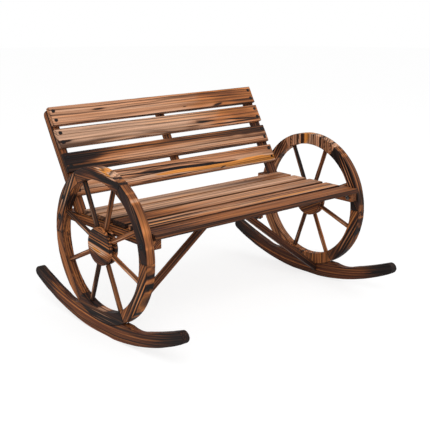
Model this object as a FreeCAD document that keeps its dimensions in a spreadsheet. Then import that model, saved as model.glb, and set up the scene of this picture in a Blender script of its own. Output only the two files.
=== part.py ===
import FreeCAD, Part
import math
import os
import Sketcher

# Rocking bench of charred fir: a slatted seat and a reclined slatted back between two spoked
# wheels, each wheel bolted to the seat frame and standing on a curved rocker.
#
# Millimetres. X runs across the bench, Y points to its back and Z up. The origin is on the
# ground, midway between the wheels and under their common axis.

# Driving sizes: alias, value, what it is
SIZES = [
    ("overall_width", 1050, "over the outer faces of the two wheels"),
    ("overall_depth", 880, "length of a rocker, tip to tip"),
    ("overall_height", 740, "ground to the top of the back"),
    ("edge_round", 2.5, "rounding of the long edges of all boards"),
    ("fit_gap", 0.2, "all round play of glued and screwed fits, on the diameter"),

    ("rim_rest_height", 43.5, "underside of the rims above the ground"),
    ("wheel_radius", 269.5, "outer radius of the rim"),
    ("rim_depth", 43, "rim, measured along a spoke"),
    ("rim_thickness", 36, "rim, measured across the bench"),
    ("rim_segment_count", 6, "curved pieces in a rim"),
    ("spoke_count", 8, "spokes in a wheel"),
    ("first_spoke_angle", 20, "degrees from straight back, turning up"),
    ("spoke_diameter", 18, "spoke between hub and rim"),
    ("rim_tenon_length", 20, "turned end of a spoke in the rim"),
    ("hub_radius", 66, "hub discs"),
    ("hub_disc_thickness", 13, "each of the two hub discs"),
    ("hub_core_radius", 36, "core that keeps the hub discs apart"),
    ("dowel_diameter", 8, "dowel across a rim joint"),
    ("dowel_length", 30, "dowel across a rim joint"),
    ("dowel_setback", 15, "dowel axis in from the outside of the rim"),

    ("rocker_radius", 958.6, "underside of the rockers"),
    ("rocker_thickness", 30, "rocker, measured across the bench"),
    ("rest_flat", 140, "level stretch under the middle of a rocker"),
    ("tip_height", 42, "height of a rocker arm at its round tip"),
    ("arm_top_radius", 2000, "top of the rocker arms"),
    ("arm_root_setback", 245, "where the arm's top meets the hollow, from the axis"),
    ("arm_root_height", 79, "the same place above the ground"),
    ("cradle_half_length", 152, "shoulder of the cradle, from the axis"),
    ("cradle_height", 72, "shoulder of the cradle above the ground"),
    ("hollow_radius", 150, "hollow between the cradle and the arm"),

    ("seat_height", 404, "top of the seat slats"),
    ("seat_overhang", 25.4, "front edge of the seat ahead of the front frame bolts"),
    ("seat_rear_gap", 11, "rear edge of the seat ahead of the feet of the posts"),
    ("seat_slat_count", 5, "seat slats"),
    ("seat_slat_gap", 15.5, "between two seat slats"),
    ("slat_thickness", 18, "seat and back slats"),
    ("front_slat_margin", 4, "end of the front seat slat to the rim"),
    ("seat_slat_margin", 10, "ends of the other seat slats to the rim"),

    ("back_recline", 30, "degrees that the back leans from upright"),
    ("back_top_setback", 350, "top front edge of the back behind the wheel axis"),
    ("back_foot_clearance", 45, "lowest edge of the back above the seat"),
    ("back_slat_count", 4, "back slats"),
    ("back_slat_gap", 15.7, "between two back slats"),
    ("second_slat_rise", 4.1, "second back slat above its even place"),
    ("back_slat_margin", 1, "ends of the back slats to the rim"),

    ("frame_width", 34, "side rails and side posts, across the bench"),
    ("rail_height", 34, "side rails"),
    ("rail_end_margin", 16, "side rail past the bolts at its ends"),
    ("post_depth", 28, "side posts, square to the back"),
    ("post_drop", 5, "top of the posts below the top of the back"),
    ("post_round", 16, "rounded rear corner at the top of the posts"),
    ("middle_post_depth", 22, "middle post, square to the back"),
    ("middle_post_foot", 15, "foot of the middle post above the lowest edge of the back"),
    ("batten_width", 30, "middle post and centre batten, across the bench"),
    ("batten_height", 22, "centre batten"),
    ("batten_setback", 35, "front end of the centre batten behind the seat's front edge"),

    ("brace_thickness", 24.5, "brace, square to its length"),
    ("brace_width", 20, "brace, front to back"),
    ("brace_shift", 6.1, "middle of the braces behind the middle of the seat slat above them"),
    ("brace_foot_height", 33.2, "middle of the brace's foot on the rocker"),
    ("brace_notch_height", 43, "notch in the brace's foot that clears the rim"),

    ("screw_head_diameter", 9, "wood screws"),
    ("screw_head_height", 2.5, "wood screws"),
    ("screw_diameter", 4.2, "wood screws"),
    ("screw_point", 4, "pointed end of the wood screws"),
    ("screw_end_margin", 16, "back screws in from the end of the slats"),
    ("upper_screw_margin", 17, "upper back screw below the top of its slat"),
    ("lower_screw_margin", 20, "lower back screw above the bottom of its slat"),
    ("post_screw_bite", 22, "back screws into the side posts"),
    ("slat_screw_bite", 11, "screws of middle post and centre batten into the slats"),
    ("rail_screw_bite", 14.5, "screws of the side rails into the seat slats"),
    ("brace_screw_bite", 13.7, "upper brace screws into the seat slat"),
    ("rocker_screw_bite", 20, "rocker screws into the rim"),
    ("rocker_screw_recess", 13.5, "head of the middle rocker screw above the ground"),
    ("rocker_screw_gap", 9.94, "front rocker screw ahead of the brace's foot screw"),

    ("bolt_head_diameter", 13, "frame bolts"),
    ("bolt_head_height", 3.5, "frame bolts"),
    ("bolt_diameter", 6, "frame bolts"),
    ("bolt_overhang", 2, "frame bolt past its nut"),
    ("bolt_post_inset", 10, "post bolt behind the front face of the post"),
    ("bolt_post_edge", 21.7, "post bolt in from the outside of the rim"),
    ("washer_diameter", 16, "frame bolts"),
    ("washer_thickness", 1.5, "frame bolts"),
    ("nut_width", 10, "frame bolts, across the flats"),
    ("nut_height", 5, "frame bolts"),
]

# Formulas on the driving sizes, for the expressions of the pieces
RIM_X = "(Sizes.overall_width / 2 - Sizes.rim_thickness / 2)"
RIM_INNER_X = "(Sizes.overall_width / 2 - Sizes.rim_thickness)"
RIM_BORE_RADIUS = "(Sizes.wheel_radius - Sizes.rim_depth)"
SPOKE_SHOULDER = f"sqrt({RIM_BORE_RADIUS}^2 - (Sizes.spoke_diameter / 2)^2)"
TENON_DIAMETER = "(Sizes.rim_thickness - 2 * Sizes.hub_disc_thickness - Sizes.fit_gap)"
TENON_HOLE = "(Sizes.rim_thickness - 2 * Sizes.hub_disc_thickness)"
DOWEL_RADIUS = "(Sizes.wheel_radius - Sizes.dowel_setback)"
SEAT_UNDERSIDE = "(Sizes.seat_height - Sizes.slat_thickness)"
SEAT_PITCH = "(Sizes.seat_slat_width + Sizes.seat_slat_gap)"
BACK_PITCH = "(Sizes.back_slat_width + Sizes.back_slat_gap)"
FRAME_X = f"({RIM_INNER_X} - Sizes.frame_width / 2)"
ROCKER_CENTRE = "sqrt(Sizes.rocker_radius^2 - (Sizes.rest_flat / 2)^2)"
ROCKER_INNER_X = f"({RIM_X} - Sizes.rocker_thickness / 2)"
SCREW_HOLE = "(Sizes.screw_diameter + Sizes.fit_gap)"
SCREW_RECESS = "(Sizes.screw_head_diameter + 2 * Sizes.fit_gap)"
BOLT_HOLE = "(Sizes.bolt_diameter + 2 * Sizes.fit_gap)"
BOLT_RECESS = "(Sizes.bolt_head_diameter + 2 * Sizes.fit_gap)"

# The back's own axes: up the slope, and out of its front face. The rounded top front edge of
# the top slat reaches the overall height, so its sharp corner would stand a little higher.
SLOPE_Y = "sin(Sizes.back_recline)"
SLOPE_Z = "cos(Sizes.back_recline)"
BACK_TOP_Z = f"(Sizes.overall_height + Sizes.edge_round * ({SLOPE_Y} + {SLOPE_Z} - 1))"

# The rail bolts go through the middle of the rim, level with the middle of the rails
RAIL_BOLT_Z = f"({SEAT_UNDERSIDE} - Sizes.rail_height / 2)"
RAIL_BOLT_Y = (f"sqrt((Sizes.wheel_radius - Sizes.rim_depth / 2)^2"
               f" - ({RAIL_BOLT_Z} - Sizes.wheel_centre_height)^2)")
RAIL_HALF = f"({RAIL_BOLT_Y} + Sizes.rail_end_margin)"


def on_rail_top(behind):
    """How far up the back's slope a plane behind its front meets the top of the rails."""
    return f"(({SEAT_UNDERSIDE} - {BACK_TOP_Z} + {behind} * {SLOPE_Y}) / {SLOPE_Z})"


def seat_slat_middle(n):
    """How far back the middle of seat slat n lies, counted from the front."""
    return f"(-Sizes.seat_front + Sizes.seat_slat_width / 2 + {n} * {SEAT_PITCH})"


def back_slat_top(n):
    """How far below the top of the back the upper edge of back slat n lies, along the slope."""
    rise = "Sizes.second_slat_rise" if n == 1 else "0"
    return f"({n} * {BACK_PITCH} - {rise})"


def back_slat_middle(n):
    """How far below the top of the back the middle of back slat n lies, along the slope."""
    return f"(Sizes.back_slat_width / 2 + {back_slat_top(n)})"


POST_FOOT_Y = (f"(Sizes.back_top_setback + {on_rail_top('Sizes.slat_thickness')} * {SLOPE_Y}"
               f" + Sizes.slat_thickness * {SLOPE_Z})")

# The post bolt stands where a line behind the post's front face meets a circle in the rim
BOLT_OFFSET = (f"(Sizes.back_top_setback * {SLOPE_Z}"
               f" - ({BACK_TOP_Z} - Sizes.wheel_centre_height) * {SLOPE_Y}"
               f" + Sizes.slat_thickness + Sizes.bolt_post_inset)")
BOLT_REACH = f"sqrt((Sizes.wheel_radius - Sizes.bolt_post_edge)^2 - {BOLT_OFFSET}^2)"
POST_BOLT_Y = f"({BOLT_OFFSET} * {SLOPE_Z} + {BOLT_REACH} * {SLOPE_Y})"
POST_BOLT_Z = (f"(Sizes.wheel_centre_height - {BOLT_OFFSET} * {SLOPE_Y}"
               f" + {BOLT_REACH} * {SLOPE_Z})")
BOLT_PLACES = {
    "rail_rear": (RAIL_BOLT_Y, RAIL_BOLT_Z),
    "rail_front": (f"-{RAIL_BOLT_Y}", RAIL_BOLT_Z),
    "post": (POST_BOLT_Y, POST_BOLT_Z),
}

# The two screws at the end of a back slat, down from its top
BACK_SCREW_DOWN = ["Sizes.upper_screw_margin", "(Sizes.back_slat_width - Sizes.lower_screw_margin)"]

# The brace's slope, and half of its thickness measured straight up. The middle of its head
# lies at the underside of the seat slats
BRACE_RUN = f"({ROCKER_INNER_X} - Sizes.batten_width / 2)"
BRACE_SLOPE = f"(({SEAT_UNDERSIDE} - Sizes.brace_foot_height) / {BRACE_RUN})"
BRACE_HALF = f"(Sizes.brace_thickness / 2 * sqrt(1 + {BRACE_SLOPE}^2))"

# A screw goes up through the brace's head into a seat slat, its head just inside the sloping
# underside, and a level one goes through the brace's foot into the rocker
BRACE_SCREW_X = "(Sizes.batten_width / 2 + Sizes.screw_head_diameter)"
BRACE_SCREW_Z = (f"({SEAT_UNDERSIDE} - {BRACE_HALF}"
                 f" - {BRACE_SLOPE} * Sizes.screw_head_diameter / 2)")
BRACE_SCREW = f"({SEAT_UNDERSIDE} - {BRACE_SCREW_Z} + Sizes.brace_screw_bite)"
FOOT_SCREW_X = (f"({ROCKER_INNER_X} - Sizes.screw_head_height"
                f" - ({BRACE_HALF} - Sizes.screw_head_diameter / 2) / {BRACE_SLOPE})")
FOOT_SCREW_BITE = f"({FOOT_SCREW_X} + {BRACE_SCREW} - {ROCKER_INNER_X})"

# Sizes that follow from the driving ones: alias, formula, what it is
DERIVED = [
    ("wheel_centre_height", "Sizes.rim_rest_height + Sizes.wheel_radius",
     "wheel axis above the ground"),
    ("front_slat_length", "Sizes.overall_width - 2 * (Sizes.rim_thickness + Sizes.front_slat_margin)",
     "front seat slat, across the bench"),
    ("seat_slat_length", "Sizes.overall_width - 2 * (Sizes.rim_thickness + Sizes.seat_slat_margin)",
     "the other seat slats"),
    ("back_slat_length", "Sizes.overall_width - 2 * (Sizes.rim_thickness + Sizes.back_slat_margin)",
     "back slat, across the bench"),
    ("seat_front", f"{RAIL_BOLT_Y} + Sizes.seat_overhang",
     "front edge of the seat ahead of the wheel axis"),
    ("seat_rear", f"{POST_FOOT_Y} - Sizes.seat_rear_gap",
     "rear edge of the seat behind the wheel axis"),
    ("seat_slat_width", "(Sizes.seat_front + Sizes.seat_rear + Sizes.seat_slat_gap)"
     " / Sizes.seat_slat_count - Sizes.seat_slat_gap", "seat slat, front to back"),
    ("back_slat_width", f"(({BACK_TOP_Z} - Sizes.seat_height - Sizes.back_foot_clearance) / {SLOPE_Z}"
     " + Sizes.back_slat_gap) / Sizes.back_slat_count - Sizes.back_slat_gap",
     "back slat, along the slope"),
    ("long_screw", "Sizes.slat_thickness + Sizes.post_screw_bite", "back slats to side posts"),
    ("middle_screw", "Sizes.middle_post_depth + Sizes.slat_screw_bite",
     "middle post to the back slats"),
    ("batten_screw", "Sizes.batten_height + Sizes.slat_screw_bite",
     "centre batten to the seat slats"),
    ("rail_screw", "Sizes.rail_height - Sizes.screw_head_height + Sizes.rail_screw_bite",
     "side rails to the seat slats"),
    ("rocker_screw", "Sizes.rim_rest_height - Sizes.rocker_screw_recess + Sizes.rocker_screw_bite",
     "rockers to the rims"),
]

NUT_SIDES = 6
SIDES = {"left": -1, "right": 1}
X_AXIS = FreeCAD.Vector(1, 0, 0)
Y_AXIS = FreeCAD.Vector(0, 1, 0)
Z_AXIS = FreeCAD.Vector(0, 0, 1)

doc = FreeCAD.newDocument("rocking_bench")
sheet = doc.addObject("Spreadsheet::Sheet", "Sizes")
for row, (alias, value, meaning) in enumerate(SIZES + DERIVED, start=1):
    sheet.set(f"A{row}", alias)
    sheet.setAlias(f"B{row}", alias)
    sheet.set(f"B{row}", f"={value}".replace("Sizes.", ""))
    sheet.set(f"C{row}", meaning)
doc.recompute()

# The braces meet the seat under its middle slat
braced_slat = int(sheet.seat_slat_count) // 2
brace_y = f"({seat_slat_middle(braced_slat)} + Sizes.brace_shift)"

# Three screws go up through each rocker, clear of the brace's screw, and bite into the rim
rocker_screw_places = [f"({brace_y} - Sizes.rocker_screw_gap)", "0",
                       f"(Sizes.rocker_screw_gap - {brace_y})"]
nodes = []


def value_of(formula):
    """The number that a formula on the sheet gives now."""
    result = sheet.evalExpression(str(formula))
    return float(getattr(result, "Value", result))


# Sketch helpers

def new_body(name):
    """An empty body that is one piece of the bench."""
    body = doc.addObject("PartDesign::Body", name)
    body.Label = name
    nodes.append(body)
    return body


def new_sketch(body, name, plane, shift="0", turn="0"):
    """A sketch on one of the body's origin planes, shifted along it or turned in it."""
    sketch = body.newObject("Sketcher::SketchObject", name)
    support = [feature for feature in body.Origin.OriginFeatures if feature.Role == plane]
    sketch.AttachmentSupport = [(support[0], "")]
    sketch.MapMode = "FlatFace"
    sketch.AttachmentOffset = FreeCAD.Placement(FreeCAD.Vector(), FreeCAD.Rotation(Z_AXIS, 0))
    if shift != "0":
        sketch.setExpression("AttachmentOffset.Base.z", shift)
    if turn != "0":
        sketch.setExpression("AttachmentOffset.Rotation.Angle", turn)
    return sketch


def bind(sketch, kind, geometry, point, name, formula):
    """One dimension of a sketch, tied to the sheet."""
    amount = value_of(formula)
    if kind in ("DistanceX", "DistanceY"):
        constraint = Sketcher.Constraint(kind, -1, 1, geometry, point, amount)
    else:
        constraint = Sketcher.Constraint(kind, geometry, amount)
    index = sketch.addConstraint(constraint)
    sketch.renameConstraint(index, name)
    sketch.setExpression(f"Constraints.{name}", formula)


def draw_outline(sketch, corners, bends=None):
    """A closed outline. Edge n runs from corner n to the next one, straight or bent.

    bends gives a radius for each bent edge, and +1 where it turns to the left or -1 to the right.
    """
    bends = bends or {}
    points = [FreeCAD.Vector(value_of(x), value_of(y), 0) for x, y in corners]
    ends = []
    for n, start in enumerate(points):
        end = points[(n + 1) % len(points)]
        if n in bends:
            radius_formula, turn = bends[n]
            radius = value_of(radius_formula)
            chord = end - start
            rise = (radius ** 2 - (chord.Length / 2) ** 2) ** 0.5
            across = FreeCAD.Vector(-chord.y, chord.x, 0) / chord.Length
            centre = (start + end) / 2 + across * rise * turn
            circle = Part.Circle(centre, Z_AXIS, radius)
            low, high = (start, end) if turn > 0 else (end, start)
            arc = Part.ArcOfCircle(circle, circle.parameter(low), circle.parameter(high))
            index = sketch.addGeometry(arc)
            ends.append((index, 1, 2) if turn > 0 else (index, 2, 1))
        else:
            index = sketch.addGeometry(Part.LineSegment(start, end))
            ends.append((index, 1, 2))
    for n, (x, y) in enumerate(corners):
        index, first, last = ends[n]
        before = ends[n - 1]
        sketch.addConstraint(Sketcher.Constraint("Coincident", before[0], before[2], index, first))
        bind(sketch, "DistanceX", index, first, f"corner_{n}_across", x)
        bind(sketch, "DistanceY", index, first, f"corner_{n}_up", y)
    for n, (radius_formula, turn) in bends.items():
        bind(sketch, "Radius", ends[n][0], None, f"bend_{n}", radius_formula)


def draw_circles(sketch, centres, diameter):
    """Equal circles about points given by formulas."""
    for n, (x, y) in enumerate(centres):
        centre = FreeCAD.Vector(value_of(x), value_of(y), 0)
        index = sketch.addGeometry(Part.Circle(centre, Z_AXIS, value_of(diameter) / 2))
        bind(sketch, "DistanceX", index, 3, f"centre_{n}_across", x)
        bind(sketch, "DistanceY", index, 3, f"centre_{n}_up", y)
        bind(sketch, "Diameter", index, None, f"bore_{n}", diameter)


# Feature helpers

def add_pad(body, sketch, length, symmetric=True, backward=False):
    """Extrude a sketch, to both sides of it or to one."""
    pad = body.newObject("PartDesign::Pad", body.Name + "_pad")
    pad.Profile = sketch
    pad.SideType = "Symmetric" if symmetric else "One side"
    pad.Reversed = backward
    pad.setExpression("Length", length)
    doc.recompute()
    return pad


def add_hole(body, plane, shift, centres, diameter, depth, forward=False):
    """Round holes from a plane into the piece. Each has to take wood away."""
    before = body.Shape.Volume
    sketch = new_sketch(body, body.Name + "_hole_sketch", plane, shift)
    draw_circles(sketch, centres, diameter)
    pocket = body.newObject("PartDesign::Pocket", body.Name + "_holes")
    pocket.Profile = sketch
    pocket.Type = "Length"
    pocket.Reversed = forward
    pocket.setExpression("Length", depth)
    doc.recompute()
    if not body.Shape.Volume < before:
        raise RuntimeError(f"{body.Label}: a hole takes nothing away")
    return pocket


def add_cross_bore(body, along, turn, shift_along, radius, start, depth):
    """A round hole whose axis lies in the plane of a rim, as a groove about that axis."""
    before = body.Shape.Volume
    sketch = new_sketch(body, body.Name + "_bore_sketch", "YZ_Plane", "0", turn)
    if along == "out":
        corners = [(start, "0"), (f"{start} + {depth}", "0"),
                   (f"{start} + {depth}", radius), (start, radius)]
        axis = "H_Axis"
    else:
        sketch.setExpression("AttachmentOffset.Base.x", f"{shift_along} * cos({turn})")
        sketch.setExpression("AttachmentOffset.Base.y", f"{shift_along} * sin({turn})")
        corners = [("0", start), (radius, start),
                   (radius, f"{start} + {depth}"), ("0", f"{start} + {depth}")]
        axis = "V_Axis"
    draw_outline(sketch, corners)
    groove = body.newObject("PartDesign::Groove", body.Name + "_bore")
    groove.Profile = sketch
    groove.ReferenceAxis = (sketch, [axis])
    groove.Angle = 360
    doc.recompute()
    if not body.Shape.Volume < before:
        raise RuntimeError(f"{body.Label}: a bore takes nothing away")


def round_edges(body, feature, radius, wanted):
    """Round the edges of a feature for which wanted(edge) holds."""
    names = [f"Edge{n}" for n, edge in enumerate(feature.Shape.Edges, start=1) if wanted(edge)]
    fillet = body.newObject("PartDesign::Fillet", body.Name + "_round")
    fillet.Base = (feature, names)
    fillet.setExpression("Radius", radius)
    doc.recompute()
    return fillet


def runs_along(direction):
    """A test for straight edges that are parallel to a direction."""
    def test(edge):
        straight = isinstance(edge.Curve, (Part.Line, Part.LineSegment))
        return straight and edge.tangentAt(edge.FirstParameter).cross(direction).Length < 1e-6
    return test


def place(piece, x="0", y="0", z="0", axis=None, angle="0"):
    """Stand a piece at its place, with the formulas of the sheet."""
    piece.Placement = FreeCAD.Placement(FreeCAD.Vector(), FreeCAD.Rotation(axis or Z_AXIS, 1))
    piece.setExpression("Placement.Rotation.Angle", angle)
    for letter, formula in zip("xyz", (x, y, z)):
        piece.setExpression(f"Placement.Base.{letter}", formula)


# Seat and back slats

def slat(name, length, width):
    """A board with rounded long edges. Its local origin is in the middle of its top face."""
    body = new_body(name)
    section = new_sketch(body, name + "_section", "YZ_Plane")
    draw_outline(section, [
        (f"-{width} / 2", "-Sizes.slat_thickness"),
        (f"{width} / 2", "-Sizes.slat_thickness"),
        (f"{width} / 2", "0"),
        (f"-{width} / 2", "0"),
    ])
    board = add_pad(body, section, length)
    round_edges(body, board, "Sizes.edge_round", lambda edge: True)
    return body


def make_seat_slats():
    """Slats with blind holes beneath for the screws of rails, centre batten and braces."""
    for n in range(int(sheet.seat_slat_count)):
        length = "Sizes.front_slat_length" if n == 0 else "Sizes.seat_slat_length"
        body = slat(f"seat_slat_{n + 1}", length, "Sizes.seat_slat_width")
        add_hole(body, "XY_Plane", "-Sizes.slat_thickness", [(FRAME_X, "0"), (f"-{FRAME_X}", "0")],
                 SCREW_HOLE, "Sizes.rail_screw_bite + Sizes.fit_gap", forward=True)
        add_hole(body, "XY_Plane", "-Sizes.slat_thickness", [("0", "0")],
                 SCREW_HOLE, "Sizes.slat_screw_bite + Sizes.fit_gap", forward=True)
        if n == braced_slat:
            add_hole(body, "XY_Plane", "-Sizes.slat_thickness",
                     [(BRACE_SCREW_X, "Sizes.brace_shift"), (f"-{BRACE_SCREW_X}", "Sizes.brace_shift")],
                     SCREW_HOLE, "Sizes.brace_screw_bite + Sizes.fit_gap", forward=True)
        place(body, y=seat_slat_middle(n), z="Sizes.seat_height")


def make_back_slats():
    """Slats with a counterbored pair of holes at each end and a blind hole behind."""
    end = "(Sizes.back_slat_length / 2 - Sizes.screw_end_margin)"
    places = [(x, f"Sizes.back_slat_width / 2 - {down}") for x in (end, f"-{end}")
              for down in BACK_SCREW_DOWN]
    for n in range(int(sheet.back_slat_count)):
        body = slat(f"back_slat_{n + 1}", "Sizes.back_slat_length", "Sizes.back_slat_width")
        add_hole(body, "XY_Plane", "0", places, SCREW_RECESS, "Sizes.screw_head_height")
        add_hole(body, "XY_Plane", "0", places, SCREW_HOLE, "Sizes.slat_thickness")
        add_hole(body, "XY_Plane", "-Sizes.slat_thickness", [("0", "0")], SCREW_HOLE,
                 "Sizes.slat_screw_bite + Sizes.fit_gap", forward=True)
        place_on_back(body, back_slat_middle(n))


def place_on_back(body, down):
    """Lay a piece on the back's slope, a way down from its top front edge."""
    place(body, y=f"Sizes.back_top_setback - {down} * {SLOPE_Y}",
          z=f"{BACK_TOP_Z} - {down} * {SLOPE_Z}", axis=X_AXIS, angle="90 - Sizes.back_recline")


# Seat frame

def make_side_rails():
    """Square rails under the ends of the seat slats, bolted to the rims."""
    half = "Sizes.frame_width / 2"
    for side, sign in SIDES.items():
        body = new_body(f"{side}_side_rail")
        section = new_sketch(body, body.Name + "_section", "XZ_Plane")
        draw_outline(section, [(f"-{half}", "-Sizes.rail_height"), (half, "-Sizes.rail_height"),
                               (half, "0"), (f"-{half}", "0")])
        beam = add_pad(body, section, f"2 * {RAIL_HALF}")
        round_edges(body, beam, "Sizes.edge_round", runs_along(Y_AXIS))
        rows = [("0", seat_slat_middle(n)) for n in range(int(sheet.seat_slat_count))]
        add_hole(body, "XY_Plane", "-Sizes.rail_height", rows, SCREW_HOLE, "Sizes.rail_height",
                 forward=True)
        add_hole(body, "XY_Plane", "-Sizes.rail_height", rows, SCREW_RECESS,
                 "2 * Sizes.screw_head_height", forward=True)
        bolts = [(RAIL_BOLT_Y, "-Sizes.rail_height / 2"),
                 (f"-{RAIL_BOLT_Y}", "-Sizes.rail_height / 2")]
        add_hole(body, "YZ_Plane", half, bolts, BOLT_HOLE, "Sizes.frame_width")
        place(body, x=f"{sign} * {FRAME_X}", z=SEAT_UNDERSIDE)


def make_centre_batten():
    """The batten that ties the seat slats together in the middle."""
    body = new_body("centre_batten")
    front = "(Sizes.batten_setback - Sizes.seat_front)"
    rear = "Sizes.seat_rear"
    outline = new_sketch(body, "centre_batten_outline", "XY_Plane")
    draw_outline(outline, [("-Sizes.batten_width / 2", front), ("Sizes.batten_width / 2", front),
                           ("Sizes.batten_width / 2", rear), ("-Sizes.batten_width / 2", rear)])
    beam = add_pad(body, outline, "Sizes.batten_height", symmetric=False, backward=True)
    round_edges(body, beam, "Sizes.edge_round", runs_along(Y_AXIS))
    rows = [("0", seat_slat_middle(n)) for n in range(int(sheet.seat_slat_count))]
    add_hole(body, "XY_Plane", "-Sizes.batten_height", rows, SCREW_HOLE, "Sizes.batten_height",
             forward=True)
    add_hole(body, "XY_Plane", "-Sizes.batten_height", rows, SCREW_RECESS,
             "Sizes.screw_head_height", forward=True)
    place(body, z=SEAT_UNDERSIDE)


def make_side_posts():
    """Leaning posts that stand on the side rails and carry the ends of the back slats."""
    front = "Sizes.slat_thickness"
    rear = "(Sizes.slat_thickness + Sizes.post_depth)"
    top = "-Sizes.post_drop"
    end = "(Sizes.back_slat_length / 2 - Sizes.screw_end_margin)"
    bolt_up = (f"((({POST_BOLT_Z} - {BACK_TOP_Z}) * {SLOPE_Z})"
               f" + ({POST_BOLT_Y} - Sizes.back_top_setback) * {SLOPE_Y})")
    bolt_out = "-(Sizes.slat_thickness + Sizes.bolt_post_inset)"
    for side, sign in SIDES.items():
        body = new_body(f"{side}_side_post")
        profile = new_sketch(body, body.Name + "_profile", "YZ_Plane")
        draw_outline(profile, [
            (on_rail_top(front), f"-{front}"),
            (on_rail_top(rear), f"-{rear}"),
            (f"{top} - Sizes.post_round", f"-{rear}"),
            (top, f"-{rear} + Sizes.post_round"),
            (top, f"-{front}"),
        ], {2: ("Sizes.post_round", 1)})
        stem = add_pad(body, profile, "Sizes.frame_width")
        round_edges(body, stem, "Sizes.edge_round", runs_along(Y_AXIS))
        screws = []
        for n in range(int(sheet.back_slat_count)):
            for down in BACK_SCREW_DOWN:
                screws.append((f"{sign} * ({end} - {FRAME_X})", f"-({down} + {back_slat_top(n)})"))
        add_hole(body, "XY_Plane", "-Sizes.slat_thickness", screws, SCREW_HOLE,
                 "Sizes.post_screw_bite + Sizes.fit_gap")
        add_hole(body, "YZ_Plane", "Sizes.frame_width / 2", [(bolt_up, bolt_out)], BOLT_HOLE,
                 "Sizes.frame_width")
        place_on_back(body, "0")
        body.setExpression("Placement.Base.x", f"{sign} * {FRAME_X}")


def make_middle_post():
    """The post behind the middle of the back slats, screwed to them from behind."""
    body = new_body("middle_post")
    front = "Sizes.slat_thickness"
    rear = "(Sizes.slat_thickness + Sizes.middle_post_depth)"
    foot = (f"(Sizes.back_slat_gap + Sizes.middle_post_foot"
            f" - {BACK_PITCH} * Sizes.back_slat_count)")
    profile = new_sketch(body, "middle_post_profile", "YZ_Plane")
    draw_outline(profile, [(foot, f"-{front}"), (foot, f"-{rear}"),
                           ("-Sizes.post_drop", f"-{rear}"), ("-Sizes.post_drop", f"-{front}")])
    stem = add_pad(body, profile, "Sizes.batten_width")
    round_edges(body, stem, "Sizes.edge_round", runs_along(Y_AXIS))
    rows = [("0", f"-{back_slat_middle(n)}") for n in range(int(sheet.back_slat_count))]
    add_hole(body, "XY_Plane", f"-{rear}", rows, SCREW_HOLE, "Sizes.middle_post_depth",
             forward=True)
    add_hole(body, "XY_Plane", f"-{rear}", rows, SCREW_RECESS, "Sizes.screw_head_height",
             forward=True)
    place_on_back(body, "0")


def make_braces():
    """Slanted braces from the centre batten down to the inner faces of the rockers."""
    inner = "Sizes.batten_width / 2"
    notch_x = f"({RIM_INNER_X} - Sizes.fit_gap)"
    for side, sign in SIDES.items():
        body = new_body(f"{side}_brace")
        profile = new_sketch(body, body.Name + "_profile", "XZ_Plane")
        corners = [
            (inner, f"{SEAT_UNDERSIDE} - {BRACE_HALF}"),
            (ROCKER_INNER_X, f"Sizes.brace_foot_height - {BRACE_HALF}"),
            (ROCKER_INNER_X, "Sizes.brace_notch_height"),
            (notch_x, "Sizes.brace_notch_height"),
            (notch_x, f"Sizes.brace_foot_height + {BRACE_HALF}"
                      f" + {BRACE_SLOPE} * ({ROCKER_INNER_X} - {notch_x})"),
            (f"{inner} + {BRACE_HALF} / {BRACE_SLOPE}", SEAT_UNDERSIDE),
            (inner, SEAT_UNDERSIDE),
        ]
        if sign < 0:
            corners = [(f"-({x})", z) for x, z in reversed(corners)]
        draw_outline(profile, corners)
        add_pad(body, profile, "Sizes.brace_width")
        run_in = "Sizes.brace_thickness"
        add_hole(body, "XY_Plane", f"{BRACE_SCREW_Z} - {run_in}",
                 [(f"{sign} * {BRACE_SCREW_X}", "0")], SCREW_HOLE,
                 f"{run_in} + {BRACE_SCREW}", forward=True)
        add_hole(body, "XY_Plane", f"{BRACE_SCREW_Z} - {run_in}",
                 [(f"{sign} * {BRACE_SCREW_X}", "0")], SCREW_RECESS,
                 f"{run_in} + Sizes.screw_head_height", forward=True)
        add_hole(body, "YZ_Plane", f"{sign} * ({FOOT_SCREW_X} - {run_in})",
                 [("0", "Sizes.brace_foot_height")], SCREW_HOLE,
                 f"{run_in} + {BRACE_SCREW}", forward=sign > 0)
        add_hole(body, "YZ_Plane", f"{sign} * ({FOOT_SCREW_X} - {run_in})",
                 [("0", "Sizes.brace_foot_height")], SCREW_RECESS,
                 f"{run_in} + Sizes.screw_head_height", forward=sign > 0)
        place(body, y=brace_y)


# Wheels

def rim_angle(n):
    """Where rim segment n starts, in degrees from straight back, turning up.

    One segment always stands with its middle on the rocker.
    """
    return f"(({n} + 1.5) * 360 / Sizes.rim_segment_count - 90)"


def spoke_angle(n):
    """Where spoke n points, in degrees from straight back, turning up."""
    return f"(Sizes.first_spoke_angle + {n} * 360 / Sizes.spoke_count)"


def meets(angle, bore, radius, start, end):
    """Whether a bore at an angle and a radius cuts wood between two angles, all in degrees."""
    spread = math.degrees(math.asin(value_of(bore) / 2 / value_of(radius)))
    return (value_of(angle) - start + spread) % 360 < end - start + 2 * spread


def rim_corner(radius, angle):
    """A corner of a rim segment."""
    return f"{radius} * cos({angle})", f"{radius} * sin({angle})"


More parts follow.
